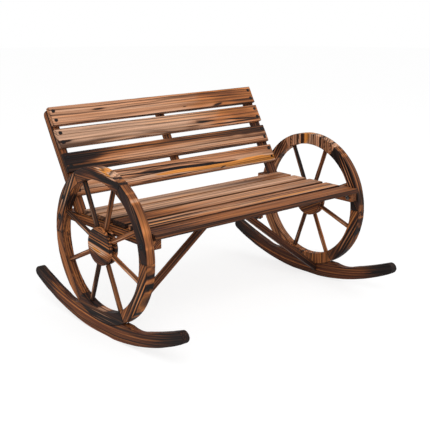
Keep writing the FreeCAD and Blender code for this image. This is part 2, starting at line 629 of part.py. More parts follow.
def make_rim(side, sign):
    """Curved segments with holes for the spokes' ends, the dowels and the frame bolts."""
    tenon_depth = f"({RIM_BORE_RADIUS} + Sizes.rim_tenon_length + Sizes.fit_gap - {SPOKE_SHOULDER})"
    for n in range(int(sheet.rim_segment_count)):
        start = rim_angle(n)
        end = rim_angle(n + 1)
        span = (value_of(start), value_of(end))
        body = new_body(f"{side}_rim_segment_{n + 1}")
        outline = new_sketch(body, body.Name + "_outline", "YZ_Plane")
        draw_outline(outline, [
            rim_corner(RIM_BORE_RADIUS, start), rim_corner("Sizes.wheel_radius", start),
            rim_corner("Sizes.wheel_radius", end), rim_corner(RIM_BORE_RADIUS, end),
        ], {1: ("Sizes.wheel_radius", 1), 3: (RIM_BORE_RADIUS, -1)})
        block = add_pad(body, outline, "Sizes.rim_thickness")
        round_edges(body, block, "Sizes.edge_round", lambda edge: isinstance(edge.Curve, Part.Circle))
        for k in range(int(sheet.spoke_count)):
            if meets(spoke_angle(k), TENON_HOLE, RIM_BORE_RADIUS, *span):
                add_cross_bore(body, "out", spoke_angle(k), "0", f"{TENON_HOLE} / 2", SPOKE_SHOULDER,
                               tenon_depth)
        for angle in (start, end):
            add_cross_bore(body, "round", angle, DOWEL_RADIUS,
                           "(Sizes.dowel_diameter + Sizes.fit_gap) / 2",
                           "-(Sizes.dowel_length + Sizes.fit_gap) / 2",
                           "(Sizes.dowel_length + Sizes.fit_gap)")
        for y, z in BOLT_PLACES.values():
            up = f"({z} - Sizes.wheel_centre_height)"
            if meets(f"atan2({up}; {y})", BOLT_RECESS, RIM_BORE_RADIUS, *span):
                outer = f"{sign} * Sizes.rim_thickness / 2"
                add_hole(body, "YZ_Plane", outer, [(y, up)], BOLT_HOLE, "Sizes.rim_thickness",
                         forward=sign < 0)
                add_hole(body, "YZ_Plane", outer, [(y, up)], BOLT_RECESS,
                         "Sizes.bolt_head_height", forward=sign < 0)
        for y in rocker_screw_places:
            up = f"(-sqrt(Sizes.wheel_radius^2 - ({y})^2))"
            if meets(f"atan2({up}; {y})", SCREW_HOLE, "Sizes.wheel_radius", *span):
                add_hole(body, "XY_Plane", "-Sizes.wheel_radius", [("0", y)], SCREW_HOLE,
                         f"Sizes.wheel_radius + {up} + Sizes.rocker_screw_bite + Sizes.fit_gap",
                         forward=True)
        place(body, x=f"{sign} * {RIM_X}", z="Sizes.wheel_centre_height")


def make_spokes(side, sign):
    """Turned spokes with a shoulder and a thin end at the rim and at the hub."""
    thick = "Sizes.spoke_diameter / 2"
    thin = f"{TENON_DIAMETER} / 2"
    inner_end = "(Sizes.hub_core_radius + Sizes.fit_gap)"
    outer_end = f"({RIM_BORE_RADIUS} + Sizes.rim_tenon_length)"
    for n in range(int(sheet.spoke_count)):
        body = new_body(f"{side}_spoke_{n + 1}")
        profile = new_sketch(body, body.Name + "_profile", "YZ_Plane")
        draw_outline(profile, [
            (inner_end, "0"), (outer_end, "0"), (outer_end, thin), (SPOKE_SHOULDER, thin),
            (SPOKE_SHOULDER, thick), ("Sizes.hub_radius", thick), ("Sizes.hub_radius", thin),
            (inner_end, thin),
        ])
        turning = body.newObject("PartDesign::Revolution", body.Name + "_turning")
        turning.Profile = profile
        turning.ReferenceAxis = (profile, ["H_Axis"])
        turning.Angle = 360
        place(body, x=f"{sign} * {RIM_X}", z="Sizes.wheel_centre_height",
              axis=X_AXIS, angle=spoke_angle(n))


def make_hub(side, sign):
    """Two discs that hold the spokes' ends between them. The inner one has the core."""
    for name, place_sign in (("outer", 1), ("inner", -1)):
        body = new_body(f"{side}_hub_{name}_disc")
        face = new_sketch(body, body.Name + "_face", "YZ_Plane")
        draw_circles(face, [("0", "0")], "2 * Sizes.hub_radius")
        disc = add_pad(body, face, "Sizes.hub_disc_thickness")
        rim_side = sign * place_sign
        round_edges(body, disc, "Sizes.edge_round", lambda edge, way=rim_side:
                    isinstance(edge.Curve, Part.Circle) and edge.CenterOfMass.x * way > 0)
        if name == "inner":
            core = new_sketch(body, body.Name + "_core", "YZ_Plane",
                              f"{sign} * Sizes.hub_disc_thickness / 2")
            draw_circles(core, [("0", "0")], "2 * Sizes.hub_core_radius")
            add_pad(body, core, TENON_HOLE, symmetric=False, backward=sign < 0)
        offset = f"{place_sign} * (Sizes.rim_thickness - Sizes.hub_disc_thickness) / 2"
        place(body, x=f"{sign} * ({RIM_X} + {offset})", z="Sizes.wheel_centre_height")


# Rockers

def rocker_screw_base(y):
    """Height of the head's top of a rocker screw: it bites the same depth into the rim."""
    rim = f"(Sizes.wheel_centre_height - sqrt(Sizes.wheel_radius^2 - ({y})^2))"
    return f"({rim} + Sizes.rocker_screw_bite - Sizes.rocker_screw)"


def rocker_corners():
    """The right hand half of a rocker's outline, from the ground round the tip to the cradle."""
    tip = "(Sizes.tip_height / 2)"
    tip_y = f"(Sizes.overall_depth / 2 - {tip})"
    lean = f"asin({tip_y} / (Sizes.rocker_radius - {tip}))"
    tip_z = f"({ROCKER_CENTRE} - (Sizes.rocker_radius - {tip}) * cos({lean}))"
    cradle_z = "Sizes.cradle_height"
    cradle_y = ("sqrt((Sizes.wheel_radius + Sizes.fit_gap / 2)^2"
                " - (Sizes.wheel_centre_height - Sizes.cradle_height)^2)")
    return [
        ("Sizes.rest_flat / 2", "0"),
        (f"{tip_y} + {tip} * sin({lean})", f"{tip_z} - {tip} * cos({lean})"),
        (f"{tip_y} + {tip} * cos({lean})", f"{tip_z} + {tip} * sin({lean})"),
        (f"{tip_y} - {tip} * sin({lean})", f"{tip_z} + {tip} * cos({lean})"),
        ("Sizes.arm_root_setback", "Sizes.arm_root_height"),
        ("Sizes.cradle_half_length", cradle_z),
        (cradle_y, cradle_z),
    ]


def make_rockers():
    """Curved runners. The cradle follows the rim, and a short level stretch is under it."""
    half = rocker_corners()
    mirrored = [(f"-({y})", z) for y, z in reversed(half)]
    corners = half + mirrored
    tip = "Sizes.tip_height / 2"
    bends = {0: ("Sizes.rocker_radius", 1), 1: (tip, 1), 2: (tip, 1),
             3: ("Sizes.arm_top_radius", -1), 4: ("Sizes.hollow_radius", -1),
             6: ("Sizes.wheel_radius + Sizes.fit_gap / 2", -1),
             8: ("Sizes.hollow_radius", -1), 9: ("Sizes.arm_top_radius", -1),
             10: (tip, 1), 11: (tip, 1), 12: ("Sizes.rocker_radius", 1)}
    for side, sign in SIDES.items():
        body = new_body(f"{side}_rocker")
        profile = new_sketch(body, body.Name + "_profile", "YZ_Plane")
        draw_outline(profile, corners, bends)
        add_pad(body, profile, "Sizes.rocker_thickness")
        for y in rocker_screw_places:
            base = rocker_screw_base(y)
            add_hole(body, "XY_Plane", "0", [("0", y)], SCREW_RECESS,
                     f"{base} + Sizes.screw_head_height", forward=True)
            add_hole(body, "XY_Plane", "0", [("0", y)], SCREW_HOLE, "Sizes.wheel_centre_height",
                     forward=True)
        inner = f"-{sign} * Sizes.rocker_thickness / 2"
        add_hole(body, "YZ_Plane", inner, [(brace_y, "Sizes.brace_foot_height")],
                 SCREW_HOLE, FOOT_SCREW_BITE, forward=sign > 0)
        place(body, x=f"{sign} * {RIM_X}")


# Fasteners: each group is one compound of equal, separate solids

def turned_profile(name, corners):
    """A sketch of half a section, to be turned about the vertical axis."""
    sketch = doc.addObject("Sketcher::SketchObject", name)
    sketch.Placement = FreeCAD.Placement(FreeCAD.Vector(), FreeCAD.Rotation(X_AXIS, 90))
    draw_outline(sketch, corners)
    return sketch


def fastener_profile(name, head_radius, head_height, radius, length, point):
    """Half a section of a screw or bolt that points down, with the top of its head at 0."""
    chamfer = f"{head_height} / 4"
    return turned_profile(name, [
        ("0", f"-({length})"), (f"{radius} / 2", f"-({length})"), (radius, f"-({length} - {point})"),
        (radius, f"-{head_height}"), (head_radius, f"-{head_height}"),
        (head_radius, f"-{chamfer}"), (f"{head_radius} - {chamfer}", "0"), ("0", "0"),
    ])


def turned_copy(name, profile, place_formulas, rotation):
    """One fastener, turned from its profile and stood at its place."""
    piece = doc.addObject("Part::Revolution", name)
    piece.Source = profile
    piece.Axis = Z_AXIS
    piece.Angle = 360
    piece.Solid = True
    piece.Placement = FreeCAD.Placement(FreeCAD.Vector(), rotation)
    for letter, formula in zip("xyz", place_formulas):
        piece.setExpression(f"Placement.Base.{letter}", formula)
    return piece


def group(name, pieces):
    """A node that holds equal fasteners as separate solids."""
    compound = doc.addObject("Part::Compound", name)
    compound.Label = name
    compound.Links = pieces
    nodes.append(compound)
    doc.recompute()


def screw_profile(name, length):
    """Half a section of a wood screw."""
    return fastener_profile(name, "(Sizes.screw_head_diameter / 2)", "Sizes.screw_head_height",
                            "(Sizes.screw_diameter / 2)", length, "Sizes.screw_point")


def on_back(down, out):
    """A point on the back: a way down the slope and out of its front face."""
    y = f"Sizes.back_top_setback - ({down}) * {SLOPE_Y} - ({out}) * {SLOPE_Z}"
    z = f"{BACK_TOP_Z} - ({down}) * {SLOPE_Z} + ({out}) * {SLOPE_Y}"
    return y, z


def make_back_screws():
    """Long screws through the ends of the back slats, and short ones from behind and beneath."""
    facing = FreeCAD.Rotation(X_AXIS, 90 - sheet.back_recline)
    profile = screw_profile("long_screw_profile", "Sizes.long_screw")
    end = "(Sizes.back_slat_length / 2 - Sizes.screw_end_margin)"
    screws = []
    for n in range(int(sheet.back_slat_count)):
        for sign in SIDES.values():
            for down in BACK_SCREW_DOWN:
                y, z = on_back(f"{down} + {back_slat_top(n)}", "0")
                place_at = (f"{sign} * {end}", y, z)
                screws.append(turned_copy("back_screw", profile, place_at, facing))
    group("back_screws", screws)
    profile = screw_profile("middle_screw_profile", "Sizes.middle_screw")
    from_behind = facing.multiply(FreeCAD.Rotation(X_AXIS, 180))
    behind = "-(Sizes.slat_thickness + Sizes.middle_post_depth)"
    screws = []
    for n in range(int(sheet.back_slat_count)):
        y, z = on_back(back_slat_middle(n), behind)
        screws.append(turned_copy("middle_post_screw", profile, ("0", y, z), from_behind))
    profile = screw_profile("batten_screw_profile", "Sizes.batten_screw")
    upward = FreeCAD.Rotation(X_AXIS, 180)
    for n in range(int(sheet.seat_slat_count)):
        place_at = ("0", seat_slat_middle(n), f"{SEAT_UNDERSIDE} - Sizes.batten_height")
        screws.append(turned_copy("centre_batten_screw", profile, place_at, upward))
    group("short_screws", screws)


def make_seat_screws():
    """Screws from beneath through the side rails into the seat slats."""
    upward = FreeCAD.Rotation(X_AXIS, 180)
    profile = screw_profile("rail_screw_profile", "Sizes.rail_screw")
    base = f"{SEAT_UNDERSIDE} - Sizes.rail_height + Sizes.screw_head_height"
    screws = []
    for n in range(int(sheet.seat_slat_count)):
        for sign in SIDES.values():
            place_at = (f"{sign} * {FRAME_X}", seat_slat_middle(n), base)
            screws.append(turned_copy("seat_screw", profile, place_at, upward))
    group("seat_screws", screws)


def make_rocker_screws():
    """Screws from beneath through the rockers into the rims."""
    upward = FreeCAD.Rotation(X_AXIS, 180)
    profile = screw_profile("rocker_screw_profile", "Sizes.rocker_screw")
    screws = []
    for sign in SIDES.values():
        for y in rocker_screw_places:
            place_at = (f"{sign} * {RIM_X}", y, rocker_screw_base(y))
            screws.append(turned_copy("rocker_screw", profile, place_at, upward))
    group("rocker_screws", screws)


def make_brace_screws():
    """A screw up through the head of each brace, and a level one through its foot."""
    upward = FreeCAD.Rotation(X_AXIS, 180)
    profile = screw_profile("brace_screw_profile", BRACE_SCREW)
    screws = []
    for sign in SIDES.values():
        head = (f"{sign} * {BRACE_SCREW_X}", brace_y, BRACE_SCREW_Z)
        screws.append(turned_copy("brace_screw", profile, head, upward))
        outward = FreeCAD.Rotation(Y_AXIS, -90 * sign)
        foot = (f"{sign} * {FOOT_SCREW_X}", brace_y, "Sizes.brace_foot_height")
        screws.append(turned_copy("brace_screw", profile, foot, outward))
    group("brace_screws", screws)


def make_frame_bolts():
    """Bolts from the outer faces of the rims, with washers and nuts inside the frame."""
    grip = "(Sizes.rim_thickness + Sizes.frame_width)"
    stack = "(Sizes.washer_thickness + Sizes.nut_height)"
    bolt = fastener_profile("bolt_profile", "(Sizes.bolt_head_diameter / 2)",
                            "Sizes.bolt_head_height", "(Sizes.bolt_diameter / 2)",
                            f"{grip} + {stack} + Sizes.bolt_overhang", "Sizes.bolt_overhang / 2")
    hole = f"{BOLT_HOLE} / 2"
    washer = turned_profile("washer_profile", [
        (hole, "0"), ("Sizes.washer_diameter / 2", "0"),
        ("Sizes.washer_diameter / 2", "Sizes.washer_thickness"), (hole, "Sizes.washer_thickness")])
    nut_face = doc.addObject("Sketcher::SketchObject", "nut_profile")
    corner = f"Sizes.nut_width / 2 / cos({180 / NUT_SIDES})"
    draw_outline(nut_face, [(f"{corner} * cos({k * 360 / NUT_SIDES})",
                             f"{corner} * sin({k * 360 / NUT_SIDES})") for k in range(NUT_SIDES)])
    draw_circles(nut_face, [("0", "0")], "Sizes.bolt_diameter + Sizes.fit_gap")
    bolts = []
    washers = []
    nuts = []
    for sign in SIDES.values():
        inward = FreeCAD.Rotation(Y_AXIS, 90 * sign)
        seat_x = f"{sign} * ({RIM_INNER_X} - Sizes.frame_width - Sizes.washer_thickness)"
        nut_x = f"{sign} * ({RIM_INNER_X} - Sizes.frame_width - {stack})"
        for y, z in BOLT_PLACES.values():
            bolts.append(turned_copy("frame_bolt", bolt, (f"{sign} * Sizes.overall_width / 2", y, z),
                                     inward))
            washers.append(turned_copy("frame_washer", washer, (seat_x, y, z), inward))
            nut = doc.addObject("Part::Extrusion", "frame_nut")
            nut.Base = nut_face
            nut.DirMode = "Custom"
            nut.Dir = Z_AXIS
            nut.Solid = True
            nut.setExpression("LengthFwd", "Sizes.nut_height")
            nut.Placement = FreeCAD.Placement(FreeCAD.Vector(), inward)
            for letter, formula in zip("xyz", (nut_x, y, z)):
                nut.setExpression(f"Placement.Base.{letter}", formula)
            nuts.append(nut)
    group("frame_bolts", bolts)
    group("frame_washers", washers)
    group("frame_nuts", nuts)


def make_rim_dowels():
    """Dowels across the joints between the rim segments."""
    profile = turned_profile("dowel_profile", [
        ("0", "-Sizes.dowel_length / 2"), ("Sizes.dowel_diameter / 2", "-Sizes.dowel_length / 2"),
        ("Sizes.dowel_diameter / 2", "Sizes.dowel_length / 2"), ("0", "Sizes.dowel_length / 2")])
    dowels = []
    for sign in SIDES.values():
        for n in range(int(sheet.rim_segment_count)):
            y, z = rim_corner(DOWEL_RADIUS, rim_angle(n))
            across = FreeCAD.Rotation(X_AXIS, value_of(rim_angle(n)))
            place_at = (f"{sign} * {RIM_X}", y, f"{z} + Sizes.wheel_centre_height")
            dowels.append(turned_copy("rim_dowel", profile, place_at, across))
    group("rim_dowels", dowels)


def check_document():
    """Stop if any object of the document failed or any piece is not a sound solid."""
    doc.recompute()
    for thing in doc.Objects:
        if "Invalid" in thing.State or "Error" in thing.State:
            raise RuntimeError(f"{thing.Label} is {thing.State}")
    for node in nodes:
        if node.Shape.isNull() or not node.Shape.isValid() or not node.Shape.Solids:
            raise RuntimeError(f"{node.Label} is not a sound solid")


def write_parts():
    """Write each piece to its own file, named after it."""
    os.makedirs("parts", exist_ok=True)
    for node in nodes:
        node.Shape.exportStep(f"parts/{node.Label}.step")
    print(len(nodes), "pieces written")


make_seat_slats()
make_back_slats()
make_side_rails()
make_centre_batten()
make_side_posts()
make_middle_post()
make_braces()
make_rockers()
for wheel_side, wheel_sign in SIDES.items():
    make_rim(wheel_side, wheel_sign)
    make_spokes(wheel_side, wheel_sign)
    make_hub(wheel_side, wheel_sign)
make_back_screws()
make_seat_screws()
make_rocker_screws()
make_brace_screws()
make_frame_bolts()
make_rim_dowels()
check_document()
write_parts()
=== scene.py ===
import math
import random

import bmesh
import bpy
from bpy.props import FloatProperty, FloatVectorProperty, PointerProperty
from bpy.types import Operator, Panel, PropertyGroup
from mathutils import Matrix, Vector, noise


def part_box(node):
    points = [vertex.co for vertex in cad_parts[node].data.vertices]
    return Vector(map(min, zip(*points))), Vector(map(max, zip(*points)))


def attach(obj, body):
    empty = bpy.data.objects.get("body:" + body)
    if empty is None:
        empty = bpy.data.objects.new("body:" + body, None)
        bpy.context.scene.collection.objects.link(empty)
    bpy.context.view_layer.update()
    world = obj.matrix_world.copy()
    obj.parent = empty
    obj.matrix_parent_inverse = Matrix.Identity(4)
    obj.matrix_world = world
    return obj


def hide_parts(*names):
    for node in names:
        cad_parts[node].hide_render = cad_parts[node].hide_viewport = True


bl_info = {
    "name": "Rocking bench",
    "version": (1, 0, 0),
    "blender": (4, 5, 0),
    "location": "3D View > Sidebar > Bench",
    "description": "Dresses the rocking bench with flamed and brushed wood and dark screws",
    "category": "Object",
}

# Metres. X runs across the bench, Y points to its back and Z up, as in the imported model.
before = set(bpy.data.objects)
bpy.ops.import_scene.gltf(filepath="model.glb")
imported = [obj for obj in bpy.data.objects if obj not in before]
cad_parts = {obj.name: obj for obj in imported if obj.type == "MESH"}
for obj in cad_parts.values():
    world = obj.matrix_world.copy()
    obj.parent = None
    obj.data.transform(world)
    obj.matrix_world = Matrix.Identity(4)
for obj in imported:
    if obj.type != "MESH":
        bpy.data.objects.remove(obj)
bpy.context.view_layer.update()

SIDES = {"left": -1, "right": 1}
X_AXIS, Y_AXIS, Z_AXIS = Vector((1, 0, 0)), Vector((0, 1, 0)), Vector((0, 0, 1))

# Places that several pieces share
SEAT_LOW, SEAT_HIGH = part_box("seat_slat_1")
SEAT_UNDERSIDE = SEAT_LOW.z
SEAT_SLATS = 5
RIM_LOW, RIM_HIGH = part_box("right_rim_segment_5")
RIM_X = (RIM_LOW.x + RIM_HIGH.x) / 2
HALF_RIM = (RIM_HIGH.x - RIM_LOW.x) / 2
RIM_SEGMENTS = 6
WHEEL_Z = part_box("right_rim_segment_1")[0].z
WHEEL_RADIUS = WHEEL_Z - RIM_LOW.z
WHEEL_BORE = 0.2265
HUB_RADIUS = 0.066
ROCKER_LOW, ROCKER_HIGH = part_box("right_rocker")

# The back's slope: its top front corner, the way up it and the way out of its front face
RECLINE = math.radians(30)
BACK_TOP = Vector((0, 0.350, 0.740915))
BACK_UP = Vector((0, math.sin(RECLINE), math.cos(RECLINE)))
BACK_OUT = Vector((0, -math.cos(RECLINE), math.sin(RECLINE)))
BACK_ABOVE_SEAT = 0.045
BACK_SLATS = 4
BACK_GAP = 0.0157
BACK_SLOPE = (BACK_TOP.z - SEAT_HIGH.z - BACK_ABOVE_SEAT) / BACK_UP.z
BACK_WIDTH = (BACK_SLOPE + BACK_GAP) / BACK_SLATS - BACK_GAP
SECOND_SLAT_RISE = 0.0041
BACK_SCREW_DOWN = (0.017, BACK_WIDTH - 0.020)
BACK_SCREW_X = (-0.472, 0.472)
SLAT = 0.018

RAIL_X = 0.472
RAIL = 0.034
POST = 0.028
POST_DROP = 0.005
POST_ROUNDING = 0.016
MIDDLE_POST_FOOT = 0.015
BATTEN_WIDTH = 0.030
BATTEN = 0.022
BRACE = 0.0245
BRACE_Y = -0.050
BRACE_FOOT_Z = 0.0332
BRACE_EDGE = 0.0014
BRACE_NOTCH_Z = 0.043
BRACE_NOTCH_GAP = 0.0002
RIM_BOLTS = ((0.2416, 0.369), (-0.2416, 0.369), (0.2106, 0.4435))
DIMPLE = 0.0008
RAIL_SCREW_SUNK = 0.0025
RUNNER_SCREW_Y = (-0.06, 0, 0.06)
RUNNER_SCREW_DOWN = 0.03
BRACE_SCREWS = ((0.024, 0.3674), (0.475, BRACE_FOOT_Z))
JOINT_EDGE = 0.0005
SPOKE_SIDES, HUB_SIDES = 28, 96
ROCKER_STEP = 0.006

# Settings that the properties share
COLOUR = {"subtype": "COLOR", "size": 3, "min": 0, "max": 1}
LENGTH = {"subtype": "DISTANCE", "unit": "LENGTH"}


class BenchWood(PropertyGroup):
    """Colours and relief of the flamed wood."""
    pale: FloatVectorProperty(
        name="Pale wood", description="Sanded early wood on lightly flamed boards",
        default=(0.66, 0.39, 0.255), **COLOUR)
    warm: FloatVectorProperty(
        name="Warm wood", description="Orange brown of the flamed early wood",
        default=(0.47, 0.165, 0.055), **COLOUR)
    deep: FloatVectorProperty(
        name="Deep wood", description="Reddish brown of strongly flamed wood",
        default=(0.120, 0.034, 0.017), **COLOUR)
    gold: FloatVectorProperty(
        name="Golden wood", description="Bright places that the flame left bare",
        default=(0.74, 0.285, 0.060), **COLOUR)
    line: FloatVectorProperty(
        name="Growth lines", description="Dark lines of the late wood",
        default=(0.030, 0.0125, 0.0085), **COLOUR)
    char: FloatVectorProperty(
        name="Char", description="Burnt black places and edges",
        default=(0.006, 0.0042, 0.004), **COLOUR)
    ash: FloatVectorProperty(
        name="Brushed char", description="Grey fibres left on burnt places",
        default=(0.040, 0.027, 0.024), **COLOUR)
    groove: FloatProperty(
        name="Groove depth", description="How deep the brush took out the soft wood",
        min=0, max=0.002, default=0.0005, **LENGTH)
    wear: FloatProperty(
        name="Edge wear", description="Most that is worn off the edges of the boards",
        min=0, max=0.003, default=0.0006, **LENGTH)


class BenchSizes(PropertyGroup):
    """Small sizes of the dressed pieces."""
    edge: FloatProperty(
        name="Edge rounding", description="Rounding of the boards' edges",
        min=0.0005, max=0.006, default=0.0025, **LENGTH)
    along: FloatProperty(
        name="Mesh step along", description="Length of a face along the grain",
        min=0.002, max=0.02, default=0.006, **LENGTH)
    across: FloatProperty(
        name="Mesh step across", description="Length of a face across the grain",
        min=0.001, max=0.01, default=0.0014, **LENGTH)
    screw_head: FloatProperty(
        name="Screw head", description="Diameter of the wood screws' heads",
        min=0.004, max=0.02, default=0.009, **LENGTH)
    bolt_head: FloatProperty(
        name="Bolt head", description="Diameter of the frame bolts' heads",
        min=0.006, max=0.03, default=0.013, **LENGTH)


class BenchStage(PropertyGroup):
    """Lamps, floor and camera."""
    sky: FloatProperty(
        name="Sky", description="Strength of the even light from all round",
        min=0, max=3, default=0.75)
    key: FloatProperty(
        name="Key lamp", description="Large lamp in front, to the left and above",
        unit="POWER", min=0, max=2000, default=85)
    fill: FloatProperty(
        name="Fill lamp", description="Large lamp to the right",
        unit="POWER", min=0, max=2000, default=30)
    lens: FloatProperty(
        name="Lens", description="Focal length of the camera",
        subtype="DISTANCE_CAMERA", min=10, max=300, default=72.2)
    eye: FloatVectorProperty(
        name="Camera place", description="Where the camera stands",
        subtype="XYZ", unit="LENGTH", size=3, default=(-2.03565, -2.33540, 1.16022))
    target: FloatVectorProperty(
        name="Camera target", description="The point that the camera looks at",
        subtype="XYZ", unit="LENGTH", size=3, default=(-0.0236, -0.01675, 0.3385))


# Wood figure

def soft_spot(along, across, half_length, half_width, tone, char, lean=0):
    """One mark of a figure, with its sizes turned from millimetres to metres."""
    return along / 1000, across / 1000, half_length / 1000, half_width / 1000, tone, char, lean


def log(seed, tone, char, *marks, knots=(), **special):
    """How a piece was sawn from its tree: where the pith lies, and how it was flamed.

    tone runs from -1, deep red brown, to 1, pale, and char from 0 to 1. The marks are soft
    spots where both change, and a knot is (along, across, radius), both in millimetres. skin
    gives tone and char of the narrow sides, stretch scales the grain's fineness across the
    piece and into it, and cross lays the grain across the piece.
    """
    rng = random.Random(seed)
    figure = {
        "seed": seed,
        "pith": (rng.choice((-1, 1)) * rng.uniform(0.03, 0.08), -rng.uniform(0.05, 0.10)),
        "spacing": rng.uniform(0.0062, 0.0082),
        "wander": rng.uniform(0.0015, 0.0035),
        "tone": tone,
        "char": char,
        "marks": [soft_spot(*mark) for mark in marks],
        "knots": [[size / 1000 for size in knot] for knot in knots],
        "edge_char": rng.uniform(0.15, 0.45),
        "skin": (0, 0),
        "cross": False,
        "stretch": (1, 1),
    }
    figure.update(special)
    return figure


def sway(seed, lane, u, pace):
    """A slow, smooth wander along a piece, from -1 to 1."""
    return 2 * noise.noise(Vector((u * pace, seed * 3.7 + lane * 11.3, lane * 5.1)))


def ring_phase(figure, u, v, w):
    """Which growth ring a point lies in, as a smooth number."""
    seed = figure["seed"]
    for ku, kv, radius in figure["knots"]:
        near = math.exp(-((u - ku) / (4.5 * radius)) ** 2 - ((v - kv) / (2.4 * radius)) ** 2)
        v -= math.copysign(0.55 * radius, v - kv) * near * min(1.0, abs(v - kv) / (0.5 * radius))
    pith_v, pith_w = figure["pith"]
    pith_v += figure["wander"] * sway(seed, 1, u, 2.3)
    pith_w += figure["wander"] * sway(seed, 2, u, 1.7)
    ripple = 0.0011 * noise.noise(Vector((u * 9, v * 45, w * 45 + seed)))
    return (math.hypot(v - pith_v, w - pith_w) + ripple) / figure["spacing"]


def late_wood(phase):
    """How much of a point is hard late wood, which stands proud after brushing."""
    part = phase % 1
    return max(0.0, 1 - abs(part - 0.86) / 0.2) if part > 0.1 else 0.0


def dress(bm, figure, to_wood=None, thin_axis=Z_AXIS, dimples=()):
    """Brush grooves and wear into a piece, and give it the attributes that its material reads.

    to_wood turns a point into wood axes: along the grain, across it, and out of the board's
    face. dimples are (place, radius) of fastener heads that were drawn in; round each, painted
    countersink shade darkens the wood. Everything moves inwards, so the piece stays inside its
    solid.
    """
    wood = bpy.context.scene.bench_wood
    layers = bm.verts.layers
    grain = layers.float_vector.new("grain")
    rings = layers.float.new("rings")
    # The char attribute holds the wood's char and also the painted countersink shade round the
    # fastener heads
    char = layers.float.new("char")
    tone = layers.float.new("tone")
    seed = figure["seed"]
    spread, sink_in = figure["stretch"]
    bm.normal_update()
    moves = []
    for vert in bm.verts:
        u, v, w = to_wood(vert.co) if to_wood else vert.co
        phase = ring_phase(figure, u, v, w)
        char_and_shade, light = figure["char"], figure["tone"]
        for mu, mv, half_u, half_v, mark_tone, mark_char, lean in figure["marks"]:
            off = v - mv - lean * (u - mu) + 0.3 * half_v * sway(seed, mv * 50, u, 14)
            near = math.exp(-((u - mu) / half_u) ** 2 - (off / half_v) ** 2)
            light += mark_tone * near
            char_and_shade += mark_char * near
        for ku, kv, radius in figure["knots"]:
            gap = math.hypot((u - ku) / 2.2, v - kv) / radius
            ragged = 0.9 * noise.noise(Vector((u * 55, v * 190, seed)))
            char_and_shade += 0.9 * max(0.0, min(1.0, 1.3 - gap + ragged))
        # The board is made darker along its rounded edges, the same on every edge
        flat = abs(vert.normal.dot(thin_axis))
        edge = 2 * flat * math.sqrt(max(0.0, 1 - flat * flat))
        light += figure["skin"][0] * (1 - flat)
        char_and_shade += figure["skin"][1] * (1 - flat) + figure["edge_char"] * edge
        depth = wood.groove * (1 - late_wood(phase))
        depth *= 0.75 + 0.5 * noise.noise(Vector((u * 25, v * 160, w * 160 + seed)))
        chip = 0.5 + noise.noise(Vector((u * 22 + seed, v * 30, w * 30)))
        depth += wood.wear * edge * max(0.0, chip)
        # Painted shade: the wood round each fastener head is darkened like char, standing in for
        # the countersink recess's shadow
        for place, radius in dimples:
            away = (vert.co - place).length / radius
            char_and_shade += 2.5 * max(0.0, 1 - away / 1.9)
            if away < 2:
                depth += DIMPLE * (1 + math.cos(math.pi * away / 2)) / 2
        vert[grain] = (u + seed * 1.37, v * spread + seed * 0.73, w * sink_in)
        vert[rings] = phase
        vert[char] = char_and_shade
        vert[tone] = light
        moves.append((vert, vert.normal * -max(0.0, depth)))
    for vert, move in moves:
        vert.co += move


# Shapes

def axes(origin, along, across):
    """The place of a piece whose x runs along it, y across it and z out of its face."""
    turn = Matrix((along, across, along.cross(across))).transposed().to_4x4()
    return Matrix.Translation(origin) @ turn


def bevel(bm, geom, offset, segments=3, affect="EDGES"):
    """Round edges or corners."""
    bmesh.ops.bevel(bm, geom=geom, offset=offset, offset_type="OFFSET", segments=segments,
                    profile=0.5, affect=affect, material=-1)


def divide(bm, axis, run, step):
    """Cut the long edges of one flat side into short steps."""
    edges = [e for e in bm.edges if abs(abs((e.verts[1].co - e.verts[0].co)[axis]) - run) < 1e-5]
    bmesh.ops.subdivide_edges(bm, edges=edges, cuts=max(1, round(run / step)))


def board(run, width, thickness):
    """A board with rounded edges on a fine grid: x along it, its face at z = 0."""
    sizes = bpy.context.scene.bench_sizes
    bm = bmesh.new()
    bmesh.ops.create_cube(bm, size=1, matrix=Matrix.Diagonal((run, width, thickness, 1)))
    bmesh.ops.translate(bm, vec=(0, 0, -thickness / 2), verts=bm.verts[:])
    bevel(bm, bm.edges[:], sizes.edge)
    divide(bm, 0, run - 2 * sizes.edge, sizes.along)
    divide(bm, 1, width - 2 * sizes.edge, sizes.across)
    divide(bm, 2, thickness - 2 * sizes.edge, sizes.across)
    return bm


def slice_up(bm, axis, step):
    """Cut a piece into even slices, so that its faces are fine enough for the wood's relief."""
    low = min(v.co[axis] for v in bm.verts)
    high = max(v.co[axis] for v in bm.verts)
    count = max(1, round((high - low) / step))
    normal = Vector((0, 0, 0))
    normal[axis] = 1
    for n in range(1, count):
        place = normal * (low + (high - low) * n / count)
        bmesh.ops.bisect_plane(bm, geom=bm.verts[:] + bm.edges[:] + bm.faces[:], dist=1e-5,
                               plane_co=place, plane_no=normal)


def prism(matrix, corners, width, rounded=None, ease=None):
    """A piece with a straight-sided outline in the x-z plane of its own axes.

    corners are in the bench's axes, and rounded is the number of one and its radius.
    """
    sizes = bpy.context.scene.bench_sizes
    bm = bmesh.new()
    back = matrix.inverted()
    verts = [bm.verts.new(back @ corner) for corner in corners]
    bm.faces.new(verts)
    if rounded:
        number, radius = rounded
        bevel(bm, [verts[number]], radius, 8, "VERTICES")
    for vert in bm.verts:
        vert.co.y = -width / 2
    grown = bmesh.ops.extrude_face_region(bm, geom=bm.faces[:])["geom"]
    bmesh.ops.translate(bm, vec=(0, width, 0),
                        verts=[g for g in grown if isinstance(g, bmesh.types.BMVert)])
    bmesh.ops.recalc_face_normals(bm, faces=bm.faces[:])
    sharp = [e for e in bm.edges if e.calc_face_angle(0) > math.radians(40)]
    bevel(bm, sharp, ease or sizes.edge)
    for axis, step in enumerate((sizes.along, 1.3 * sizes.across, 1.3 * sizes.across)):
        slice_up(bm, axis, step)
    return bm


